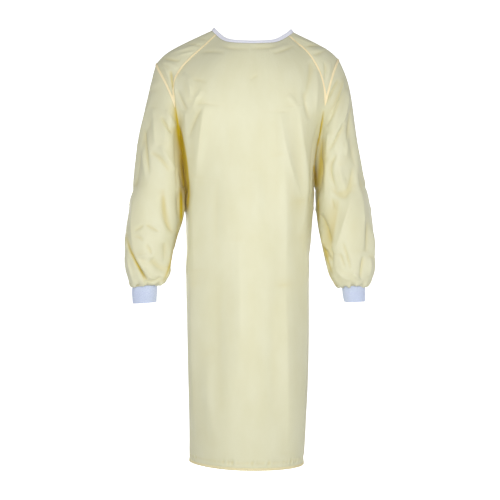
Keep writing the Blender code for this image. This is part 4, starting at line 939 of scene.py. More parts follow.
def strokes(rows, places, normals, turned):
    """Sum of the strokes of a table at each point. Across its line a stroke falls off as
    exp(-(distance / width) ** crest): a crest near 1 is sharp and near 2 soft. Along the line it
    grows from nothing and fades again, and it fades where the cloth turns away from the eye,
    between the two values of turned."""
    total = np.zeros(len(places))
    for side in (FRONT, BACK, 2 * RIGHT, 2 * LEFT):
        flat, squarely = seen(places, normals, side)
        facing = smooth(*turned, squarely)
        for values in zip(*rows.values()):
            row = dict(zip(rows, values))
            if row["side"] != side:
                continue
            line = crease_line(row)
            reach = STROKE_REACH * max(row["left"], row["right"])
            low, high = line.min(axis=0) - reach, line.max(axis=0) + reach
            near = np.flatnonzero(((flat > low) & (flat < high)).all(axis=1) & (facing > 0))
            start, step = line[:-1], np.diff(line, axis=0)
            offset = flat[near, None] - start
            share = np.sum(offset * step, axis=2) / np.sum(step * step, axis=1)
            inside = np.clip(share, 0, 1)
            apart = offset - inside[..., None] * step
            distance = np.linalg.norm(apart, axis=2)
            best = distance.argmin(axis=1)
            pick = np.arange(len(near)), best
            turn = step[best, 0] * apart[pick][:, 1] - step[best, 1] * apart[pick][:, 0]
            up = np.sign(line[-1, 1] - line[0, 1]) or 1.0
            on_left = turn * up > 0
            width = np.where(on_left, row["left"], row["right"])
            at = (best + inside[pick]) / len(step)
            fade = np.sin(np.clip(at, 0.0, 1.0) * np.pi) ** STROKE_FADE
            shape = np.exp(-((distance[pick] / width) ** row["crest"]))
            total[near] += row["lift"] * shape * fade * facing[near]
    return total


def spread(faces, values, rounds):
    """The values, one a point, after each is set to the mean of its neighbours' round by round."""
    edges, _, _ = edge_list(faces)
    both = np.concatenate([edges, edges[:, ::-1]])
    count = np.bincount(both[:, 0], minlength=len(values))
    for _ in range(rounds):
        values = np.bincount(both[:, 0], values[both[:, 1]], len(values)) / count
    return values


@cache
def control_nets():
    """The panels' control nets, smoothed together, with the largest folds: the same points that
    the solids are made from."""
    front = body_grid(FRONT, FRONT_HALF)
    back = body_grid(BACK, BACK_HALF)
    yokes = [yoke_grid(side) for side in (RIGHT, LEFT)]
    holes = [armhole_ring(front, back, yoke, side) for yoke, side in zip(yokes, (RIGHT, LEFT))]
    sleeves = [sleeve_grid(side, hole) for side, hole in zip((RIGHT, LEFT), holes)]
    grids = [front, back, *yokes, *sleeves]
    index, shared = weld(grids)
    held = np.zeros(len(shared), bool)
    for sleeve in index[4:]:
        held[sleeve[:PINNED_RINGS, [-1, 0, 1]]] = True
    shared = fair(index, shared, WRAPS, held)
    nets = {name: shared[i] for name, i in zip(NETS, index)}
    set_tape_widths(nets)
    for net, side in (("sleeve_-1", RIGHT), ("sleeve_1", LEFT)):
        nets[net][0] = armhole_ring(nets["front"], nets["back"], nets[f"yoke_{side}"], side)
    index, shared = weld([nets[name] for name in NETS])
    faces = np.concatenate([cells(i, w, f) for i, w, f in zip(index, WRAPS, FLIPS)])
    normals = point_normals(faces, shared)
    return index, shared + normals * fold_lift(shared, normals)[:, None]


def gathers(net, side):
    """How far the sleeve's end waves in and out where it is gathered into the cuff: 11 long and
    23 short cosine waves round the ring, which wander a little and are as deep as half a sine
    wave up the sleeve."""
    rows = GATHER_RINGS * FINE + 1
    angle = np.linspace(0, 2 * np.pi, net.shape[1], endpoint=False)
    level = np.linspace(0, 1, rows)[:, None]
    wander = 0.9 * np.sin(2 * angle + side) + 0.5 * np.sin(3 * angle + 2 * side)
    depth = np.sin((1 - level) ** 0.7 * np.pi)
    long_waves = np.cos(11 * angle + wander + 0.8 * side * level)
    short_waves = np.cos(23 * angle + 2.2 * wander - 1.1 * level)
    uneven = 1 + 0.45 * np.sin(5 * angle + 1.7 * side)
    waves = depth * long_waves + 0.45 * smooth(0.35, 0.95, level) * depth * short_waves
    lift = np.zeros(net.shape)
    lift[-rows:] = scene_sizes().gather_depth / MM * waves * uneven
    return lift


def hem_puckers(net):
    """How far the cloth is drawn in and puckers just above its hem's stitches: two short waves
    along the hem, 14 and 24 mm long, that wander, grow and fade, in a shallow trough."""
    column = np.arange(net.shape[1])
    short = np.sin(column * 1.14 + 1.5 * np.sin(column / 13))
    long_waves = 0.6 * np.sin(column * 0.68 + 2.0 * np.sin(column / 29))
    uneven = 0.5 + 0.5 * np.sin(column * 0.21 + 2.5 * np.sin(column / 17))
    level = np.arange(net.shape[0])[:, None] / FINE
    sewn = np.exp(-((level - HEM_STITCHES) / HEM_SPREAD) ** 2)
    return (PUCKER_DEPTH * uneven * (short + long_waves) - HEM_TUCK) * sewn


@cache
def cloth():
    """{panel: (points, normals, valley shade)} of the divided and creased panels, each a grid."""
    index, shared = control_nets()
    for _ in range(ROUNDS):
        index, shared = divide(index, WRAPS, shared)
    faces = np.concatenate([cells(i, w, f) for i, w, f in zip(index, WRAPS, FLIPS)])
    normals = point_normals(faces, shared)
    lift = strokes(CREASES, shared, normals, CREASE_TURN) * scene_sizes().crease_depth
    for net, side in ((index[4], RIGHT), (index[5], LEFT)):
        lift[net] += gathers(net, side)
    for net in index[:2]:
        lift[net] += hem_puckers(net)
    shared = shared + normals * lift[:, None]
    normals = point_normals(faces, shared)
    # Painted shade: deep gold strokes in the valleys and along the sleeves' inner edges, and more
    # gold in the creases' troughs.
    shade = strokes(GOLD_PAINTED_SHADE, shared, normals, PAINTED_SHADE_TURN)
    troughs = spread(faces, lift, TROUGH_ROUNDS) - lift
    shade = np.clip(shade + TROUGH_PAINTED_SHADE * np.clip(troughs / TROUGH_DEPTH, 0, 1), 0, 1)
    return {name: (shared[i], normals[i], shade[i]) for name, i in zip(NETS, index)}


def both_backs():
    """The right and left backs cut from the whole back. The left one laps over from outside: its
    points move out along their normals, rising smoothly from where the lap starts."""
    whole, normals, shade = cloth()["back"]
    end = (BACK_HALF + BACK_LAP) * FINE + 1
    start = (BACK_HALF - BACK_LAP) * FINE
    right = whole[:, :end], normals[:, :end], shade[:, :end]
    columns = np.arange(whole.shape[1] - start) / FINE
    rise = smooth(0, 2, 2 * BACK_LAP + 2 - columns) * BACK_LAP_OFFSET
    left = whole[:, start:] + normals[:, start:] * rise[None, :, None]
    return right, (left, normals[:, start:], shade[:, start:])


def numbered(rows, columns):
    """The point numbers of a grid, row by row."""
    return np.arange(rows * columns).reshape(rows, columns)


def grid_uv(grid):
    """(u, v) of a grid's points in metres of cloth: how far they are along its middle row and
    down its middle column."""
    rows, columns = grid.shape[:2]
    across = run_length(grid[rows // 2])
    down = run_length(grid[:, columns // 2])
    return (np.broadcast_to(across[None] * MM, (rows, columns)).reshape(-1),
            np.broadcast_to(down[:, None] * MM, (rows, columns)).reshape(-1))


def surface_mesh(name, grid, wrap=False, flip=False, close_rows=False, shade=None):
    """A mesh from a grid of points in millimetres, with its UV map."""
    index = numbered(*grid.shape[:2])
    if close_rows:
        index = np.concatenate([index, index[:1]])
    return mesh_from(name, grid.reshape(-1, 3), cells(index, wrap, flip), grid_uv(grid),
                     None if shade is None else shade.reshape(-1))


def mesh_from(name, vertices, faces, uv=None, shade=None):
    """A mesh object at the origin from points in millimetres and four-sided faces."""
    mesh = bpy.data.meshes.new(name)
    mesh.vertices.add(len(vertices))
    mesh.vertices.foreach_set("co", (vertices * MM).astype(np.float32).ravel())
    mesh.loops.add(faces.size)
    mesh.loops.foreach_set("vertex_index", faces.astype(np.int32).ravel())
    mesh.polygons.add(len(faces))
    mesh.polygons.foreach_set("loop_start", np.arange(0, faces.size, 4, dtype=np.int32))
    mesh.update(calc_edges=True)
    if uv is not None:
        layer = mesh.uv_layers.new(name="cloth")
        corners = np.stack([uv[0][faces.reshape(-1)], uv[1][faces.reshape(-1)]], axis=1)
        layer.data.foreach_set("uv", corners.astype(np.float32).ravel())
    if shade is not None:
        values = mesh.attributes.new("valley", "FLOAT", "POINT")
        values.data.foreach_set("value", shade.astype(np.float32).ravel())
    mesh.shade_smooth()
    made = bpy.data.objects.new(name, mesh)
    bpy.context.scene.collection.objects.link(made)
    return made


def add_faces(piece, outlines):
    """Closes a mesh with a face through each list of point numbers, and turns them all out."""
    shape = bmesh.new()
    shape.from_mesh(piece.data)
    shape.verts.ensure_lookup_table()
    for outline in outlines:
        shape.faces.new([shape.verts[int(number)] for number in outline])
    bmesh.ops.recalc_face_normals(shape, faces=shape.faces)
    shape.to_mesh(piece.data)
    shape.free()


def thicken(piece, wall):
    """Gives a sheet its thickness, in metres, on the inside of its surface."""
    solidify = piece.modifiers.new("wall", "SOLIDIFY")
    solidify.thickness = wall
    solidify.offset = -1.0
    solidify.use_rim = True
    return piece


def finish_piece(piece, nodes, surface):
    """Gives a piece its material and tells the frame what it rides on and replaces."""
    piece.data.materials.append(surface)
    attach(piece, "root")
    if nodes:
        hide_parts(*nodes)
    return piece


def scene_sizes():
    return bpy.context.scene.gown_sizes


def scene_colours():
    return bpy.context.scene.gown_colours


def wall_loop(sheet, inward, wall, wrap=False):
    """The closed outline of a band: its outer rows, then its inner rows back again, with both
    edges rounded by drawing the first and last rows half a wall in."""
    rows = len(sheet)
    share = np.abs(np.linspace(-1, 1, rows)) ** (rows * 1.5)
    pinch = (share * wall * 0.5)[:, None, None]
    outer = sheet + inward * pinch
    inner = sheet + inward * (wall - pinch)
    return np.concatenate([outer, inner[::-1]])


def resample(line, count):
    """Points evenly spaced along a line of points."""
    length = run_length(line)
    return read_line(line, length, np.linspace(0, length[-1], count))


def stitch_row(line, normals, lift, pitch, length, width, slant=0.0):
    """Points and faces of a row of stitches above a line. Each is a short four-sided bar, thin at
    its ends, which lies along the line or at a slant across it."""
    line = line + normals * lift
    size = run_length(line)
    count = max(1, int(size[-1] / pitch))
    at = (np.arange(count) + 0.5) * size[-1] / count
    places = read_line(line, size, at)
    up = unit(read_line(normals, size, at))
    way = unit(read_line(line, size, at + 0.5) - read_line(line, size, at - 0.5))
    side = unit(np.cross(up, way))
    way = unit(way * np.cos(slant) + side * np.sin(slant))
    side = np.cross(up, way)
    along_way, thick, rise = (values[:, None] for values in STITCH.values())
    around = np.array([(1, 0), (0, 1), (-1, 0), (0, -1)]) * (width / 2)
    rings, corners = len(thick), len(around)
    local = np.zeros((rings, corners, 3))
    local[:, :, 0] = along_way * length
    local[:, :, 1] = around[:, 0] * thick
    local[:, :, 2] = around[:, 1] * thick + rise * width
    basis = np.stack([way, side, up], axis=1)
    made = places[:, None, None] + np.einsum("rak,nkj->nraj", local, basis)
    index = numbered(rings, corners)
    one = np.concatenate([cells(index, wrap=True), index[:1, ::-1], index[-1:]])
    faces = (one[None] + index.size * np.arange(count)[:, None, None]).reshape(-1, corners)
    return made.reshape(-1, 3), faces


def tape_stitches(strip, facing, column):
    """A row of straight stitches along one column of a tape."""
    sizes = scene_sizes()
    pitch = sizes.stitch_pitch / MM
    return stitch_row(strip[:, column], facing[:, column], STITCH_LIFT, pitch,
                      pitch * STITCH_SHARE, sizes.thread / MM)


def join_rows(rows):
    """One list of points and faces from several."""
    starts = np.cumsum([0] + [len(v) for v, _ in rows[:-1]])
    return (np.concatenate([v for v, _ in rows]),
            np.concatenate([f + start for (_, f), start in zip(rows, starts)]))


def linear(hex_colour):
    """A colour given as sRGB hex, as the linear values that shaders use."""
    srgb = np.array([int(hex_colour[k:k + 2], 16) for k in (1, 3, 5)]) / 255
    return tuple(np.where(srgb <= 0.04045, srgb / 12.92, ((srgb + 0.055) / 1.055) ** 2.4))


def node(tree, kind, inputs=None, **settings):
    """Adds a node, makes its settings, and gives each named input a value or a link."""
    made = tree.nodes.new(kind)
    for name, value in settings.items():
        setattr(made, name, value)
    for name, value in (inputs or {}).items():
        if isinstance(value, bpy.types.NodeSocket):
            tree.links.new(value, made.inputs[name])
        else:
            made.inputs[name].default_value = value
    return made


def new_surface(name):
    """(material, its node tree, its shader)."""
    made = bpy.data.materials.new(name)
    made.use_nodes = True
    return made, made.node_tree, made.node_tree.nodes["Principled BSDF"]


def cloth_axes(tree):
    """(the UV map, its X, its Y)."""
    uv = node(tree, "ShaderNodeUVMap", uv_map="cloth").outputs["UV"]
    split = node(tree, "ShaderNodeSeparateXYZ", {0: uv}).outputs
    return uv, split["X"], split["Y"]


def arithmetic(tree, first, operation, second=0.0):
    """One step of arithmetic on values or sockets."""
    return node(tree, "ShaderNodeMath", {0: first, 1: second}, operation=operation).outputs[0]


def waves(tree, coordinate, pitch):
    """A sine wave along one coordinate of the UV map, with its pitch in metres."""
    return arithmetic(tree, arithmetic(tree, coordinate, "MULTIPLY", 2 * np.pi / pitch), "SINE")


def noise(tree, place, detail, scale=1.0, stretch=()):
    """Noise over a place, with one scale or, if stretch is given, its own across and down."""
    if stretch:
        mapped = node(tree, "ShaderNodeMapping", {"Vector": place, "Scale": (*stretch, 1)})
        place = mapped.outputs[0]
    inputs = {"Vector": place, "Scale": scale, "Detail": detail}
    return node(tree, "ShaderNodeTexNoise", inputs).outputs[0]


def remap(tree, value, low, high, to_low=0.0, to_high=1.0):
    """A value carried over from one range to another, and kept inside it."""
    inputs = {"Value": value, "From Min": low, "From Max": high, "To Min": to_low,
              "To Max": to_high}
    return node(tree, "ShaderNodeMapRange", inputs).outputs[0]


def dress(tree, shader, colour, settings):
    """Links a colour to a shader and makes its other settings."""
    tree.links.new(colour, shader.inputs["Base Color"])
    for name, value in settings.items():
        shader.inputs[name].default_value = value


def bump(tree, shader, layers):
    """Stacks bump layers on a shader, each a height, its depth in metres and its strength."""
    last = None
    for height, depth, strength in layers:
        inputs = {"Height": height, "Distance": depth, "Strength": strength}
        if last:
            inputs["Normal"] = last
        last = node(tree, "ShaderNodeBump", inputs).outputs["Normal"]
    tree.links.new(last, shader.inputs["Normal"])


def blend_colours(tree, factor, first, second):
    """A mix of two colours, each a triple or a socket."""
    ends = [(*c, 1) if isinstance(c, tuple) else c for c in (first, second)]
    return node(tree, "ShaderNodeMix", {0: factor, 6: ends[0], 7: ends[1]},
                data_type="RGBA").outputs[2]


@cache
def woven_polyester():
    """Plain-woven polyester, calendered: pale, slightly glossy on the crowns of its folds, and
    painted deep gold in the valleys and troughs, as painted shade for the light passed from fold to
    fold."""
    made, tree, shader = new_surface("woven_polyester")
    colours = scene_colours()
    uv, across, down = cloth_axes(tree)
    # The threads are 0.3 mm apart, which doesn't show, so the weave is drawn at 1.2 mm.
    weave = arithmetic(tree, waves(tree, across, 0.0024), "MULTIPLY", waves(tree, down, 0.0024))
    # Uneven handling, in patches about 60 mm wide and twice as long down the cloth.
    tone = remap(tree, noise(tree, uv, 3.0, stretch=(16, 8)), 0.3, 0.7)
    # Small puckers about 13 mm wide.
    puckers = noise(tree, uv, 4.0, stretch=(75, 42))
    pale = blend_colours(tree, tone, tuple(colours.cloth_deep), tuple(colours.cloth))
    # Painted shade: the valley attribute mixes the cloth towards deep gold in the valleys and
    # troughs.
    valley = node(tree, "ShaderNodeAttribute", attribute_name="valley").outputs["Fac"]
    cloth_with_painted_shade = blend_colours(tree, valley, pale, tuple(colours.valley))
    dress(tree, shader, cloth_with_painted_shade, {"Roughness": 0.58, "Specular IOR Level": 0.45,
                                 "Sheen Weight": 0.12, "Sheen Roughness": 0.5})
    bump(tree, shader, [(puckers, 0.0012, 0.35), (weave, 0.00015, 0.30)])
    return made


@cache
def rib_knit(name, pale, deep):
    """Polyester and cotton rib knit, bleached: matt, cool white, with soft loops in its ribs."""
    made, tree, shader = new_surface(name)
    uv, _, down = cloth_axes(tree)
    # Loops are 0.9 mm high, and drawn at 1.8 mm so that they show.
    loops = waves(tree, down, 0.0018)
    fuzz = noise(tree, uv, 3.0, stretch=(420, 300))
    mixed = blend_colours(tree, remap(tree, fuzz, 0.35, 0.65), deep, pale)
    dress(tree, shader, mixed, {"Roughness": 0.85, "Specular IOR Level": 0.25,
                                "Sheen Weight": 0.25, "Sheen Roughness": 0.6})
    bump(tree, shader, [(loops, 0.0003, 0.5), (fuzz, 0.0004, 0.5)])
    return made


@cache
def twill_tape(name, pale, deep):
    """Woven polyester tape: peach, matt, with a fine diagonal rib that breaks up its gloss, and
    painted shade in the grooves between its ribs.
    """
    made, tree, shader = new_surface(name)
    _, across, down = cloth_axes(tree)
    # The twill's ribs are 0.5 mm apart, and drawn at 1.5 mm so that they show.
    ribs_at = waves(tree, arithmetic(tree, across, "ADD", down), 0.0015)
    # Painted shade: the colour is the deeper one where the ribs' bump is low, in the grooves.
    mixed = blend_colours(tree, remap(tree, ribs_at, -1.0, 1.0), deep, pale)
    dress(tree, shader, mixed, {"Roughness": 0.7, "Specular IOR Level": 0.3})
    bump(tree, shader, [(ribs_at, 0.0002, 0.4)])
    return made


@cache
def spun_thread(name, pale, deep):
    """Spun polyester sewing thread: a twist of two plies, slightly lighter than the cloth."""
    made, tree, shader = new_surface(name)
    place = node(tree, "ShaderNodeTexCoord").outputs["Object"]
    grain = noise(tree, place, 2.0, scale=900.0)
    dress(tree, shader, blend_colours(tree, grain, deep, pale), {"Roughness": 0.55})
    bump(tree, shader, [(grain, 0.0002, 0.4)])
    return made


def cloth_piece(name, panel, cad, flip, wrap=False):
    """One panel of the gown from its points, normals and valley shade."""
    grid, _, shade = panel
    piece = surface_mesh(f"cloth_{name}", grid, wrap=wrap, flip=flip, shade=shade)
    thicken(piece, scene_sizes().cloth_wall)
    finish_piece(piece, [cad], woven_polyester())


def build_body():
    """Front and backs."""
    right, left = both_backs()
    cloth_piece("front", cloth()["front"], "front_panel", flip=False)
    cloth_piece("back_right", right, "back_panel_right", flip=True)
    cloth_piece("back_left", left, "back_panel_left", flip=True)


def build_yokes():
    for side, word in SIDES:
        cloth_piece(f"yoke_{word}", cloth()[f"yoke_{side}"], f"yoke_{word}",
                    flip=side == LEFT)


def build_sleeves():
    for side, word in SIDES:
        cloth_piece(f"sleeve_{word}", cloth()[f"sleeve_{side}"], f"sleeve_{word}",
                    flip=side == LEFT, wrap=True)


def ribs(count, around, depth):
    """Heights of a rib knit round a tube: each rib a rounded ridge with a narrow groove."""
    turn = np.arange(around) / around * count * np.pi
    return depth * (np.abs(np.sin(turn)) ** 0.6 - 1.0)


def build_cuffs():
    """Rib-knit cuffs: rings read off a curve through the table's rings, ribbed outside and in,
    drawn in a little where the sleeve is sewn on and at the folded mouth."""
    sizes = scene_sizes()
    colours = scene_colours()
    surface = rib_knit("cuff_knit", tuple(colours.knit), tuple(colours.knit_deep))
    around = RIB_POINTS * sizes.cuff_ribs
    turn = np.linspace(0, 2 * np.pi, around, endpoint=False)
    level = np.linspace(0, 1, CUFF_STEPS)
    fade = smooth(0, 0.06, level) * smooth(1.0, 0.93, level)
    lift = ribs(sizes.cuff_ribs, around, CUFF_RIB)[None] * fade[:, None]
    lift = lift - CUFF_SEWN * (1 - smooth(0, 0.08, level))[:, None]
    for side, word in SIDES:
        keys = CUFF[side]
        at = np.linspace(0, len(keys["mid_y"]) - 1, CUFF_STEPS)
        grid = np.array([ring(row, around) for row in ring_rows(keys, at)])
        faces = cells(numbered(CUFF_STEPS, around), True, side == LEFT)
        normals = point_normals(faces, grid.reshape(-1, 3)).reshape(grid.shape)
        waver = CUFF_WAVER * np.sin(level * 5.0 + side)[:, None] * np.sin(3 * turn + side)
        outer = grid + normals * (lift + waver)[..., None]
        loop = wall_loop(outer, -normals, sizes.knit_wall / MM)
        piece = surface_mesh(f"knit_cuff_{word}", loop, wrap=True, flip=side == LEFT,
                             close_rows=True)
        finish_piece(piece, [f"cuff_{word}"], surface)


def neck_line():
    """The neck seam all round, from the right back's free edge to the left back's."""
    right, left = both_backs()
    panels = cloth()
    return np.concatenate([right[0][-1, ::-1], panels["yoke_-1"][0][0, ::-1][1:],
                           panels["front"][0][-1][1:], panels["yoke_1"][0][0][1:],
                           left[0][-1, ::-1][1:]])


def build_binding():
    """The knit binding: from the neck seam it leans up and in towards the neck. Its profile is a
    folded strip, carried along the seam, with ribs across it."""
    sizes = scene_sizes()
    colours = scene_colours()
    seam = resample(neck_line(), BINDING_COLUMNS)
    inward = np.zeros_like(seam)
    inward[:, :2] = unit(NECK_AXIS - seam[:, :2])
    rise = unit(inward * BINDING_LEAN + np.array([0, 0, 1 - BINDING_LEAN / 3]))
    way = unit(np.gradient(seam, axis=0))
    out = unit(np.cross(rise, way))
    out = out * np.sign(np.sum(out * -inward, axis=1))[:, None]
    share = np.linspace(BINDING_ROOT, 1, BINDING_ROWS)
    turn = np.arange(BINDING_COLUMNS) / BINDING_COLUMNS * sizes.binding_ribs * np.pi
    rib = BINDING_RIB * (np.abs(np.sin(turn)) ** 0.7 - 0.5)
    swell = BINDING_SWELL * np.sin(np.clip(share, 0, 1) * np.pi)
    fade = smooth(BINDING_ROOT, 0.1, share) * smooth(1.0, 0.88, share)
    height = share * sizes.binding_width / MM
    stand = BINDING_OUT + swell[:, None] + fade[:, None] * rib[None]
    grid = seam[None] + rise[None] * height[:, None, None] + out[None] * stand[..., None]
    loop = wall_loop(grid, -np.broadcast_to(out, grid.shape), sizes.binding_wall / MM)
    piece = surface_mesh("knit_neck_binding", loop, close_rows=True)
    cap_ends(piece, loop)
    surface = rib_knit("binding_knit", tuple(colours.binding), tuple(colours.binding_deep))
    finish_piece(piece, ["neck_binding"], surface)


def cap_ends(piece, loop):
    """Closes the two ends of a band whose profile is a loop, row by row across the wall."""
    index = numbered(*loop.shape[:2])
    half = len(index) // 2
    outer, inner = index[:half], index[::-1][:half]
    add_faces(piece, [(outer[k, end], outer[k + 1, end], inner[k + 1, end], inner[k, end])
                      for end in (0, -1) for k in range(half - 1)])


def margin(grid, normals, widths):
    """(points, normals) of a strip along a grid's first column: nine lines at even shares of the
    strip's width, each read between the grid's own columns at its distance from the edge."""
    steps = np.linalg.norm(np.diff(grid, axis=1), axis=2)
    distance = np.concatenate([np.zeros((len(grid), 1)), np.cumsum(steps, axis=1)], axis=1)
    wanted = np.linspace(0, 1, 9)[None] * np.asarray(widths).reshape(-1, 1)
    low = np.sum(distance[:, None] <= wanted[..., None], axis=2) - 1
    low = np.clip(low, 0, grid.shape[1] - 2)
    near = np.take_along_axis(distance, low, axis=1)
    share = (wanted - near) / (np.take_along_axis(distance, low + 1, axis=1) - near)
    line = np.arange(len(grid))[:, None]
    made = [part[line, low] * (1 - share[..., None]) + part[line, low + 1] * share[..., None]
            for part in (grid, normals)]
    return made[0], unit(made[1])


def tape_strip(grid, normals, lift):
    """A raised strip on a panel's margin: its middle stands off the cloth, its edges turn down."""
    across = np.abs(np.linspace(-1, 1, grid.shape[1]))
    height = lift * (1 - 0.55 * across ** 6) + 0.12 * np.cos(across * np.pi * 2)
    return grid + normals * height[None, :, None]


def build_seam_tapes():
    """A tape over both raglan seams and the sleeve's head, beside each yoke's edges."""
    colours = scene_colours()
    tape = twill_tape("seam_tape", tuple(colours.tape), tuple(colours.tape_deep))
    neck, tip = TAPE_SHOWN
    for side, word in SIDES:
        grid, normals, _ = cloth()[f"yoke_{side}"]
        widths = neck + (tip - neck) * np.linspace(0, 1, len(grid)) ** 2
        towards_tips = np.abs(np.linspace(-1, 1, grid.shape[1])) ** 3
        head_widths = HEAD_TAPE_SHOWN + (tip - HEAD_TAPE_SHOWN) * towards_tips
        head = [np.swapaxes(part[::-1], 0, 1) for part in (grid, normals)]
        runs = [
            (*margin(grid, normals, widths), TAPE_LIFT, side == LEFT),
            (*margin(grid[:, ::-1], normals[:, ::-1], widths), TAPE_LIFT, side == RIGHT),
            (*margin(*head, head_widths), HEAD_TAPE_LIFT, side == RIGHT),
        ]
        strips, maps, threads = [], [], []
        for place, facing, lift, turned in runs:
            strip = tape_strip(place, facing, lift)
            faces = cells(numbered(*strip.shape[:2]), flip=turned)
            strips.append((strip.reshape(-1, 3), faces))
            maps.append(grid_uv(strip))
            threads += [tape_stitches(strip, facing, 1), tape_stitches(strip, facing, -2)]
        piece = mesh_from(f"tape_yoke_{word}", *join_rows(strips), np.concatenate(maps, axis=1))
        thicken(piece, TAPE_WALL * MM)
        finish_piece(piece, [f"seam_tape_{word}"], tape)
        thread = mesh_from(f"stitching_yoke_{word}", *join_rows(threads))
        finish_piece(thread, [], tape_thread())


def build_hems():
    """A narrow facing along each hem, with an overlocked lower edge and a row of stitches."""
    shades = tuple(scene_colours().hem), tuple(scene_colours().hem_deep)
    right, left = both_backs()
    parts = [("front", cloth()["front"], True, "front_hem"),
             ("back_right", right, False, "back_hem_right"),
             ("back_left", left, False, "back_hem_left")]
    for name, (grid, normals, _), flip, cad in parts:
        lines = [np.swapaxes(part[:FINE + 1], 0, 1) for part in (grid, normals)]
        place, facing = margin(*lines, np.full(grid.shape[1], HEM_TAPE_WIDTH))
        strip = tape_strip(place, facing, TAPE_LIFT)
        piece = surface_mesh(f"tape_hem_{name}", strip, flip=flip)
        thicken(piece, TAPE_WALL * MM)
        finish_piece(piece, [cad], twill_tape("hem_tape", *shades))
        lower = stitch_row(strip[:, 2], facing[:, 2], *OVERLOCK)
        rows = join_rows([tape_stitches(strip, facing, -2), lower])
        thread = mesh_from(f"stitching_hem_{name}", *rows)
        finish_piece(thread, [], spun_thread("hem_thread", *shades))


def tape_thread():
    colours = scene_colours()
    return spun_thread("tape_thread", tuple(colours.thread), tuple(colours.tape_deep))


def build_panel_stitching():
    """Rows of stitches where the cuffs are sewn on and down the backs' turned free edges."""
    rows = []
    for side in (RIGHT, LEFT):
        grid, normals, _ = cloth()[f"sleeve_{side}"]
        line, facing = (np.concatenate([part[-3], part[-3][:1]]) for part in (grid, normals))
        rows.append(stitch_row(line, facing, *CUFF_STITCHES))
    right, left = both_backs()
    for (grid, normals, _), column in ((right, -4), (left, 3)):
        rows.append(stitch_row(grid[:, column], normals[:, column], *EDGE_STITCHES))
    piece = mesh_from("stitching_panels", *join_rows(rows))
    finish_piece(piece, [], tape_thread())


def on_back(x, z):
    """(points, normals) on the right back's divided surface at each x, z: the nearest point of
    its grid, moved across the plane that touches the surface there."""
    (grid, normals, _), _ = both_backs()
    flat = grid.reshape(-1, 3)
    across = flat[None, :, [0, 2]] - np.stack([x, z], axis=-1)[:, None]
    nearest = np.sum(across * across, axis=2).argmin(axis=1)
    found, facing = flat[nearest].copy(), normals.reshape(-1, 3)[nearest]
    slope = (x - found[:, 0]) * facing[:, 0] + (z - found[:, 2]) * facing[:, 2]
    found[:, 1] -= slope / facing[:, 1]
    found[:, 0], found[:, 2] = x, z
    return found, facing


def tie_band(name, middles, widths, way, cad):
    """A flat tie along its middle line (x, z and stand-off), several points wide along way, and
    slightly thicker along its two sewn edges."""
    across = np.linspace(-0.5, 0.5, 9)
    x = middles[:, :1] + widths[:, None] * across * way[0]
    z = middles[:, 1:2] + widths[:, None] * across * way[1]
    found, _ = on_back(x.reshape(-1), z.reshape(-1))
    _, middle_facing = on_back(middles[:, 0], middles[:, 1])
    curl = 0.25 * (np.abs(across) > 0.36) - 0.35 * np.cos(across * 2 * np.pi)
    lift = middles[:, 2:3] + curl * (widths / widths.max())[:, None]
    grid = found.reshape(*x.shape, 3) + unit(middle_facing)[:, None] * lift[..., None]
    piece = surface_mesh(name, grid, flip=FLIP_TIE[way])
    thicken(piece, scene_sizes().tie_wall)
    finish_piece(piece, [cad], woven_polyester())
    return piece


def knot_surface(middle, normal):
    """Points of a pulled-tight knot: a squared ball whose surface rises into a band round its
    waist and sinks in a groove either side of it."""
    tilt = np.linspace(0.02, np.pi - 0.02, KNOT_RINGS)[:, None]
    turn = np.linspace(0, 2 * np.pi, KNOT_AROUND, endpoint=False)[None]
    x, cos_turn, sin_turn = (np.sign(v) * np.abs(v) ** KNOT_ROUND
                             for v in (np.cos(tilt), np.cos(turn), np.sin(turn)))
    x, y, z = np.broadcast_arrays(x, np.sin(tilt) ** KNOT_ROUND * cos_turn,
                                  np.sin(tilt) ** KNOT_ROUND * sin_turn)
    slant = x * 0.85 + z * 0.35
    band = np.exp(-((slant / KNOT_BAND) ** 4))
    groove = np.exp(-(((np.abs(slant) - KNOT_GROOVE[0]) / KNOT_GROOVE[1]) ** 2))
    scale = 0.90 + 0.10 * band - 0.14 * groove
    body = np.stack([x, y, z], axis=2) * scale[..., None] * KNOT_HALF
    side = unit(np.cross(normal, (0, 0, 1)))
    return middle + body @ np.stack([side, normal, np.cross(side, normal)])


def strap_line(side, middle_x, z, stand, strap):
    """(middle line, widths) of a strap, from the knot down to the back that it is sewn to."""
    share = np.linspace(0, 1, STRAP_ROWS)
    x = middle_x + side * (STRAP_ROOT + (strap + KNOT_HALF[0] - STRAP_ROOT) * share)
    lie = LAY_GAP + TIE_WALL + (BACK_LAP_OFFSET if side == LEFT else 0)
    rise = max(0, stand + TIE_WALL / 2 - lie) * (1 - share) ** 3
    middles = np.stack([x, np.full(STRAP_ROWS, z), lie + TIE_LIFT + rise], axis=1)
    return middles, TIE_WIDTH * (1 - (1 - TIE_PINCH) * (1 - share) ** 2)


def tail_line(side, middle_x, top, tail):
    """(middle line, widths) of a tail, which opens out and sways as it hangs from the knot."""
    down = np.linspace(0, 1, TAIL_ROWS) ** TAIL_CROWDING * tail
    open_up = 1 - np.exp(-down / TAIL_OPENING)
    sway = TAIL_SWAY * np.sin(down / 34 + side) * smooth(0, 60, down)
    x = middle_x + side * (TAIL_ROOT + open_up * TAIL_SPREAD) + sway
    stand_off = BACK_LAP_OFFSET + TAIL_STANDOFF + (1 - open_up) * TIE_WALL / 2
    middles = np.stack([x, top - down, stand_off], axis=1)
    return middles, TIE_WIDTH * (TIE_PINCH + (1 - TIE_PINCH) * open_up)


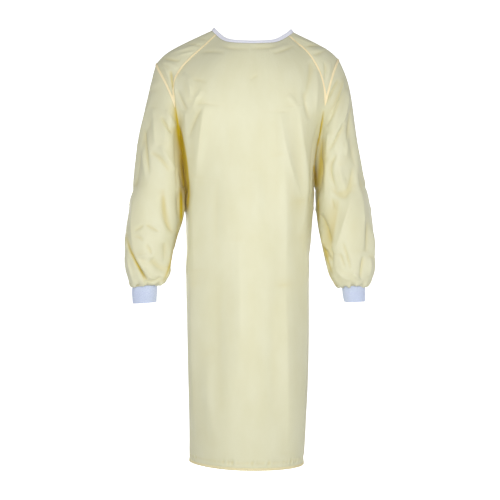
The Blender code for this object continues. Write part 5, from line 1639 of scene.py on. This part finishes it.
def build_ties():
    """Neck and waist ties: straps sewn to either back, knots past the left back's free edge, and
    the tails that hang from them."""
    _, (left_grid, _, _) = both_backs()
    edge = left_grid[np.argsort(left_grid[:, 0, 2]), 0]
    stand = LAY_GAP + KNOT_HALF[1]
    for name, z, *lengths in zip(TIE_NAMES, *TIES.values()):
        middle_x = np.interp(z, edge[:, 2], edge[:, 0]) - KNOT_PAST_EDGE
        (point,), (normal,) = on_back(np.array([middle_x]), np.array([z]))
        grid = knot_surface(point + normal * stand, normal)
        piece = surface_mesh(f"knot_{name}", grid, wrap=True, flip=True)
        add_faces(piece, numbered(*grid.shape[:2])[[0, -1]])
        finish_piece(piece, [f"{name}_tie_knot"], woven_polyester())
        top = z - (KNOT_HALF[2] - KNOT_INSIDE - SLOPE_CLOSING * normal[2])
        for (side, word), strap, tail in zip(SIDES, lengths[:2], lengths[2:]):
            band = tie_band(f"tie_{name}_strap_{word}",
                            *strap_line(side, middle_x, z, stand, strap), (0, side),
                            f"{name}_tie_strap_{word}")
            band = tie_band(f"tie_{name}_{word}", *tail_line(side, middle_x, top, tail), (-1, 0),
                            f"{name}_tie_{word}")


def build_stage():
    """A white paper sweep behind and under the gown, soft light from in front, and the camera."""
    bpy.context.scene.view_settings.view_transform = "Standard"
    build_paper()
    light_room()
    hang_lamps()
    place_camera()


def build_paper():
    """The sweep: a floor that bends up into a wall behind the gown."""
    bend = np.linspace(0, np.pi / 2, 24)
    profile = np.concatenate([
        [[PAPER_NEAR, FLOOR_Z]],
        np.stack([PAPER_FAR - PAPER_BEND + PAPER_BEND * np.sin(bend),
                  FLOOR_Z + PAPER_BEND - PAPER_BEND * np.cos(bend)], axis=1),
        [[PAPER_FAR, PAPER_TOP]]])
    grid = np.zeros((len(profile), 3, 3))
    grid[..., 0] = np.linspace(-PAPER_HALF, PAPER_HALF, 3)
    grid[..., 1:] = profile[:, None]
    sweep = surface_mesh("paper_sweep", grid)
    sweep.data.materials.append(white_paper())


def light_room():
    """White from all round: plain where it is seen, and dimmer as it lights the gown."""
    world = bpy.data.worlds.new("studio")
    world.use_nodes = True
    light = world.node_tree.nodes["Background"]
    light.inputs["Color"].default_value = (1, 1, 1, 1)
    glow = shown_and_cast(world.node_tree, PAPER_SHOWN, scene_sizes().room_light)
    world.node_tree.links.new(glow, light.inputs["Strength"])
    bpy.context.scene.world = world


def hang_lamps():
    """Round lamps that the camera doesn't see, each turned to the gown's middle."""
    for name, x, y, z, size, power in zip(LAMP_NAMES, *LAMPS.values()):
        lamp = bpy.data.lights.new(name, "AREA")
        lamp.shape = "DISK"
        lamp.size = size
        lamp.energy = power * scene_sizes().key_power
        holder = bpy.data.objects.new(name, lamp)
        aim = np.array(LAMP_AIM) - (x, y, z)
        yaw = np.arctan2(-aim[0], aim[1])
        pitch = np.arctan2(np.hypot(aim[0], aim[1]), -aim[2])
        holder.location = (x, y, z)
        holder.rotation_euler = (pitch, 0.0, yaw)
        holder.visible_camera = False
        bpy.context.scene.collection.objects.link(holder)


def place_camera():
    """The camera, level, in front of the gown."""
    scene = bpy.context.scene
    camera = bpy.data.cameras.new("camera")
    camera.lens = LENS
    camera.sensor_width = 36.0
    camera.clip_end = 50.0
    holder = bpy.data.objects.new("camera", camera)
    holder.location = (0.0, -EYE_DISTANCE * MM, EYE_Z * MM)
    holder.rotation_euler = (np.pi / 2, 0.0, 0.0)
    scene.collection.objects.link(holder)
    scene.camera = holder


def shown_and_cast(tree, shown, cast):
    """A strength that is one value where a surface is seen and another as it lights things."""
    path = node(tree, "ShaderNodeLightPath").outputs["Is Camera Ray"]
    return remap(tree, path, 0.0, 1.0, cast, shown)


def white_paper():
    """Matt white studio paper, lit until it is plain white: it glows evenly, so that the gown
    stands against white from every side."""
    made, tree, shader = new_surface("white_paper")
    place = node(tree, "ShaderNodeTexCoord").outputs["Object"]
    grain = noise(tree, place, 2.0, scale=3.0)
    tone = remap(tree, grain, 0.0, 1.0, 0.97, 1.0)
    mixed = blend_colours(tree, tone, linear("#F4F4F4"), linear("#FFFFFF"))
    dress(tree, shader, mixed, {"Roughness": 1.0, "Specular IOR Level": 0.0,
                                "Emission Color": (1, 1, 1, 1)})
    tree.links.new(shown_and_cast(tree, PAPER_SHOWN, PAPER_LIGHT),
                   shader.inputs["Emission Strength"])
    return made


def colour_property(name, description, hex_colour):
    return bpy.props.FloatVectorProperty(name=name, description=description, subtype="COLOR",
                                         size=3, min=0.0, max=1.0, default=linear(hex_colour))


def length_property(name, description, millimetres):
    return bpy.props.FloatProperty(name=name, description=description, subtype="DISTANCE",
                                   unit="LENGTH", min=0.0, precision=5,
                                   default=millimetres * MM)


class GownSizes(bpy.types.PropertyGroup):
    """Sizes of the cloth and trims."""

    cloth_wall: length_property("Cloth", "Thickness of the woven polyester", 0.7)
    knit_wall: length_property("Knit", "Thickness of the rib-knit cuffs", 1.7)
    binding_wall: length_property("Binding wall", "Thickness of the folded neck binding", 1.6)
    binding_width: length_property("Binding width", "Height of the neck binding", 11.0)
    tie_wall: length_property("Tie wall", "Thickness of a tie", 1.2)
    gather_depth: length_property("Gathers", "Depth of the gathers above the cuffs", 3.2)
    stitch_pitch: length_property("Stitch", "Distance from stitch to stitch on the tapes", 3.2)
    thread: length_property("Thread", "Thickness of the sewing thread as drawn", 0.7)
    cuff_ribs: bpy.props.IntProperty(name="Cuff ribs", description="Ribs round each cuff",
                                     default=62, min=8)
    crease_depth: bpy.props.FloatProperty(name="Creases", description="Depth of the creases",
                                          default=3.0, min=0.0)
    binding_ribs: bpy.props.IntProperty(name="Binding ribs", description="Ribs along the binding",
                                        default=230, min=8)
    key_power: bpy.props.FloatProperty(name="Key light", description="Power of the key light",
                                       unit="POWER", default=16.5, min=0.0)
    room_light: bpy.props.FloatProperty(name="Room light", description="Light from all round",
                                        default=0.37, min=0.0)


class GownColours(bpy.types.PropertyGroup):
    """Colours of the cloth, knit, tape and thread."""

    cloth: colour_property("Cloth", "Pale yellow cloth", "#DCDABC")
    cloth_deep: colour_property("Cloth, deeper", "The cloth in its deeper patches", "#D8D5B3")
    # Painted shade: the deep gold that the cloth is painted in the valleys between sleeve and body
    # and in the creases' troughs.
    valley: colour_property("Valley", "The gold of the cloth between sleeve and body", "#C6AC10")
    knit: colour_property("Knit", "Cool white rib knit", "#D3DDF2")
    knit_deep: colour_property("Knit, deeper", "The knit between its loops", "#C2CDE8")
    binding: colour_property("Binding", "Knit of the neck binding", "#F6F7FF")
    binding_deep: colour_property("Binding, deeper", "The binding between its loops", "#E6E8F8")
    tape: colour_property("Tape", "Peach seam tape", "#FDF0CA")
    # Painted shade in the tape's grooves between its ribs; the tape thread's grain also uses it as
    # a deeper tone of the thread.
    tape_deep: colour_property("Tape, deeper", "The tape between its ribs", "#F8E7B8")
    hem: colour_property("Hem", "Facing along the hem", "#EEE3BB")
    # Painted shade in the hem facing's grooves between its ribs; the hem thread's grain also uses
    # it as a deeper tone of the thread.
    hem_deep: colour_property("Hem, deeper", "The facing between its ribs", "#E0D6A9")
    thread: colour_property("Thread", "Sewing thread", "#FBEECB")


class GOWN_OT_body(bpy.types.Operator):
    """Makes the front and the two overlapping backs"""

    bl_idname = "gown.body"
    bl_label = "Front and backs"

    def execute(self, context):
        build_body()
        return {"FINISHED"}


class GOWN_OT_yokes(bpy.types.Operator):
    """Makes the two shoulder yokes"""

    bl_idname = "gown.yokes"
    bl_label = "Shoulder yokes"

    def execute(self, context):
        build_yokes()
        return {"FINISHED"}


class GOWN_OT_sleeves(bpy.types.Operator):
    """Makes the two sleeves, gathered into the cuffs"""

    bl_idname = "gown.sleeves"
    bl_label = "Sleeves"

    def execute(self, context):
        build_sleeves()
        return {"FINISHED"}


class GOWN_OT_cuffs(bpy.types.Operator):
    """Makes the two rib-knit cuffs"""

    bl_idname = "gown.cuffs"
    bl_label = "Cuffs"

    def execute(self, context):
        build_cuffs()
        return {"FINISHED"}


class GOWN_OT_binding(bpy.types.Operator):
    """Makes the knit binding round the neck"""

    bl_idname = "gown.binding"
    bl_label = "Neck binding"

    def execute(self, context):
        build_binding()
        return {"FINISHED"}


class GOWN_OT_trims(bpy.types.Operator):
    """Makes the seam tapes, the hem facings and all the stitching"""

    bl_idname = "gown.trims"
    bl_label = "Tapes, hems and stitching"

    def execute(self, context):
        build_seam_tapes()
        build_hems()
        build_panel_stitching()
        return {"FINISHED"}


class GOWN_OT_ties(bpy.types.Operator):
    """Makes the neck and waist ties at the back"""

    bl_idname = "gown.ties"
    bl_label = "Ties"

    def execute(self, context):
        build_ties()
        return {"FINISHED"}


class GOWN_OT_stage(bpy.types.Operator):
    """Makes the paper sweep, the lights and the camera"""

    bl_idname = "gown.stage"
    bl_label = "Stage"

    def execute(self, context):
        build_stage()
        return {"FINISHED"}


class GOWN_PT_panel(bpy.types.Panel):
    """Sizes, colours and steps of the gown"""

    bl_idname = "GOWN_PT_panel"
    bl_label = "Isolation gown"
    bl_space_type = "VIEW_3D"
    bl_region_type = "UI"
    bl_category = "Gown"

    def draw(self, context):
        for group in (context.scene.gown_sizes, context.scene.gown_colours):
            box = self.layout.box()
            for name in group.__annotations__:
                box.prop(group, name)
        for step in STEPS:
            self.layout.operator(step.bl_idname)


STEPS = (GOWN_OT_stage, GOWN_OT_body, GOWN_OT_yokes, GOWN_OT_sleeves, GOWN_OT_cuffs,
         GOWN_OT_binding, GOWN_OT_trims, GOWN_OT_ties)
CLASSES = (GownSizes, GownColours, *STEPS, GOWN_PT_panel)


def register():
    for item in CLASSES:
        bpy.utils.register_class(item)
    bpy.types.Scene.gown_sizes = bpy.props.PointerProperty(type=GownSizes)
    bpy.types.Scene.gown_colours = bpy.props.PointerProperty(type=GownColours)


def unregister():
    del bpy.types.Scene.gown_colours
    del bpy.types.Scene.gown_sizes
    for item in reversed(CLASSES):
        bpy.utils.unregister_class(item)


def main():
    register()
    bpy.ops.gown.stage()
    bpy.ops.gown.body()
    bpy.ops.gown.yokes()
    bpy.ops.gown.sleeves()
    bpy.ops.gown.cuffs()
    bpy.ops.gown.binding()
    bpy.ops.gown.trims()
    bpy.ops.gown.ties()


if __name__ == "__main__":
    main()
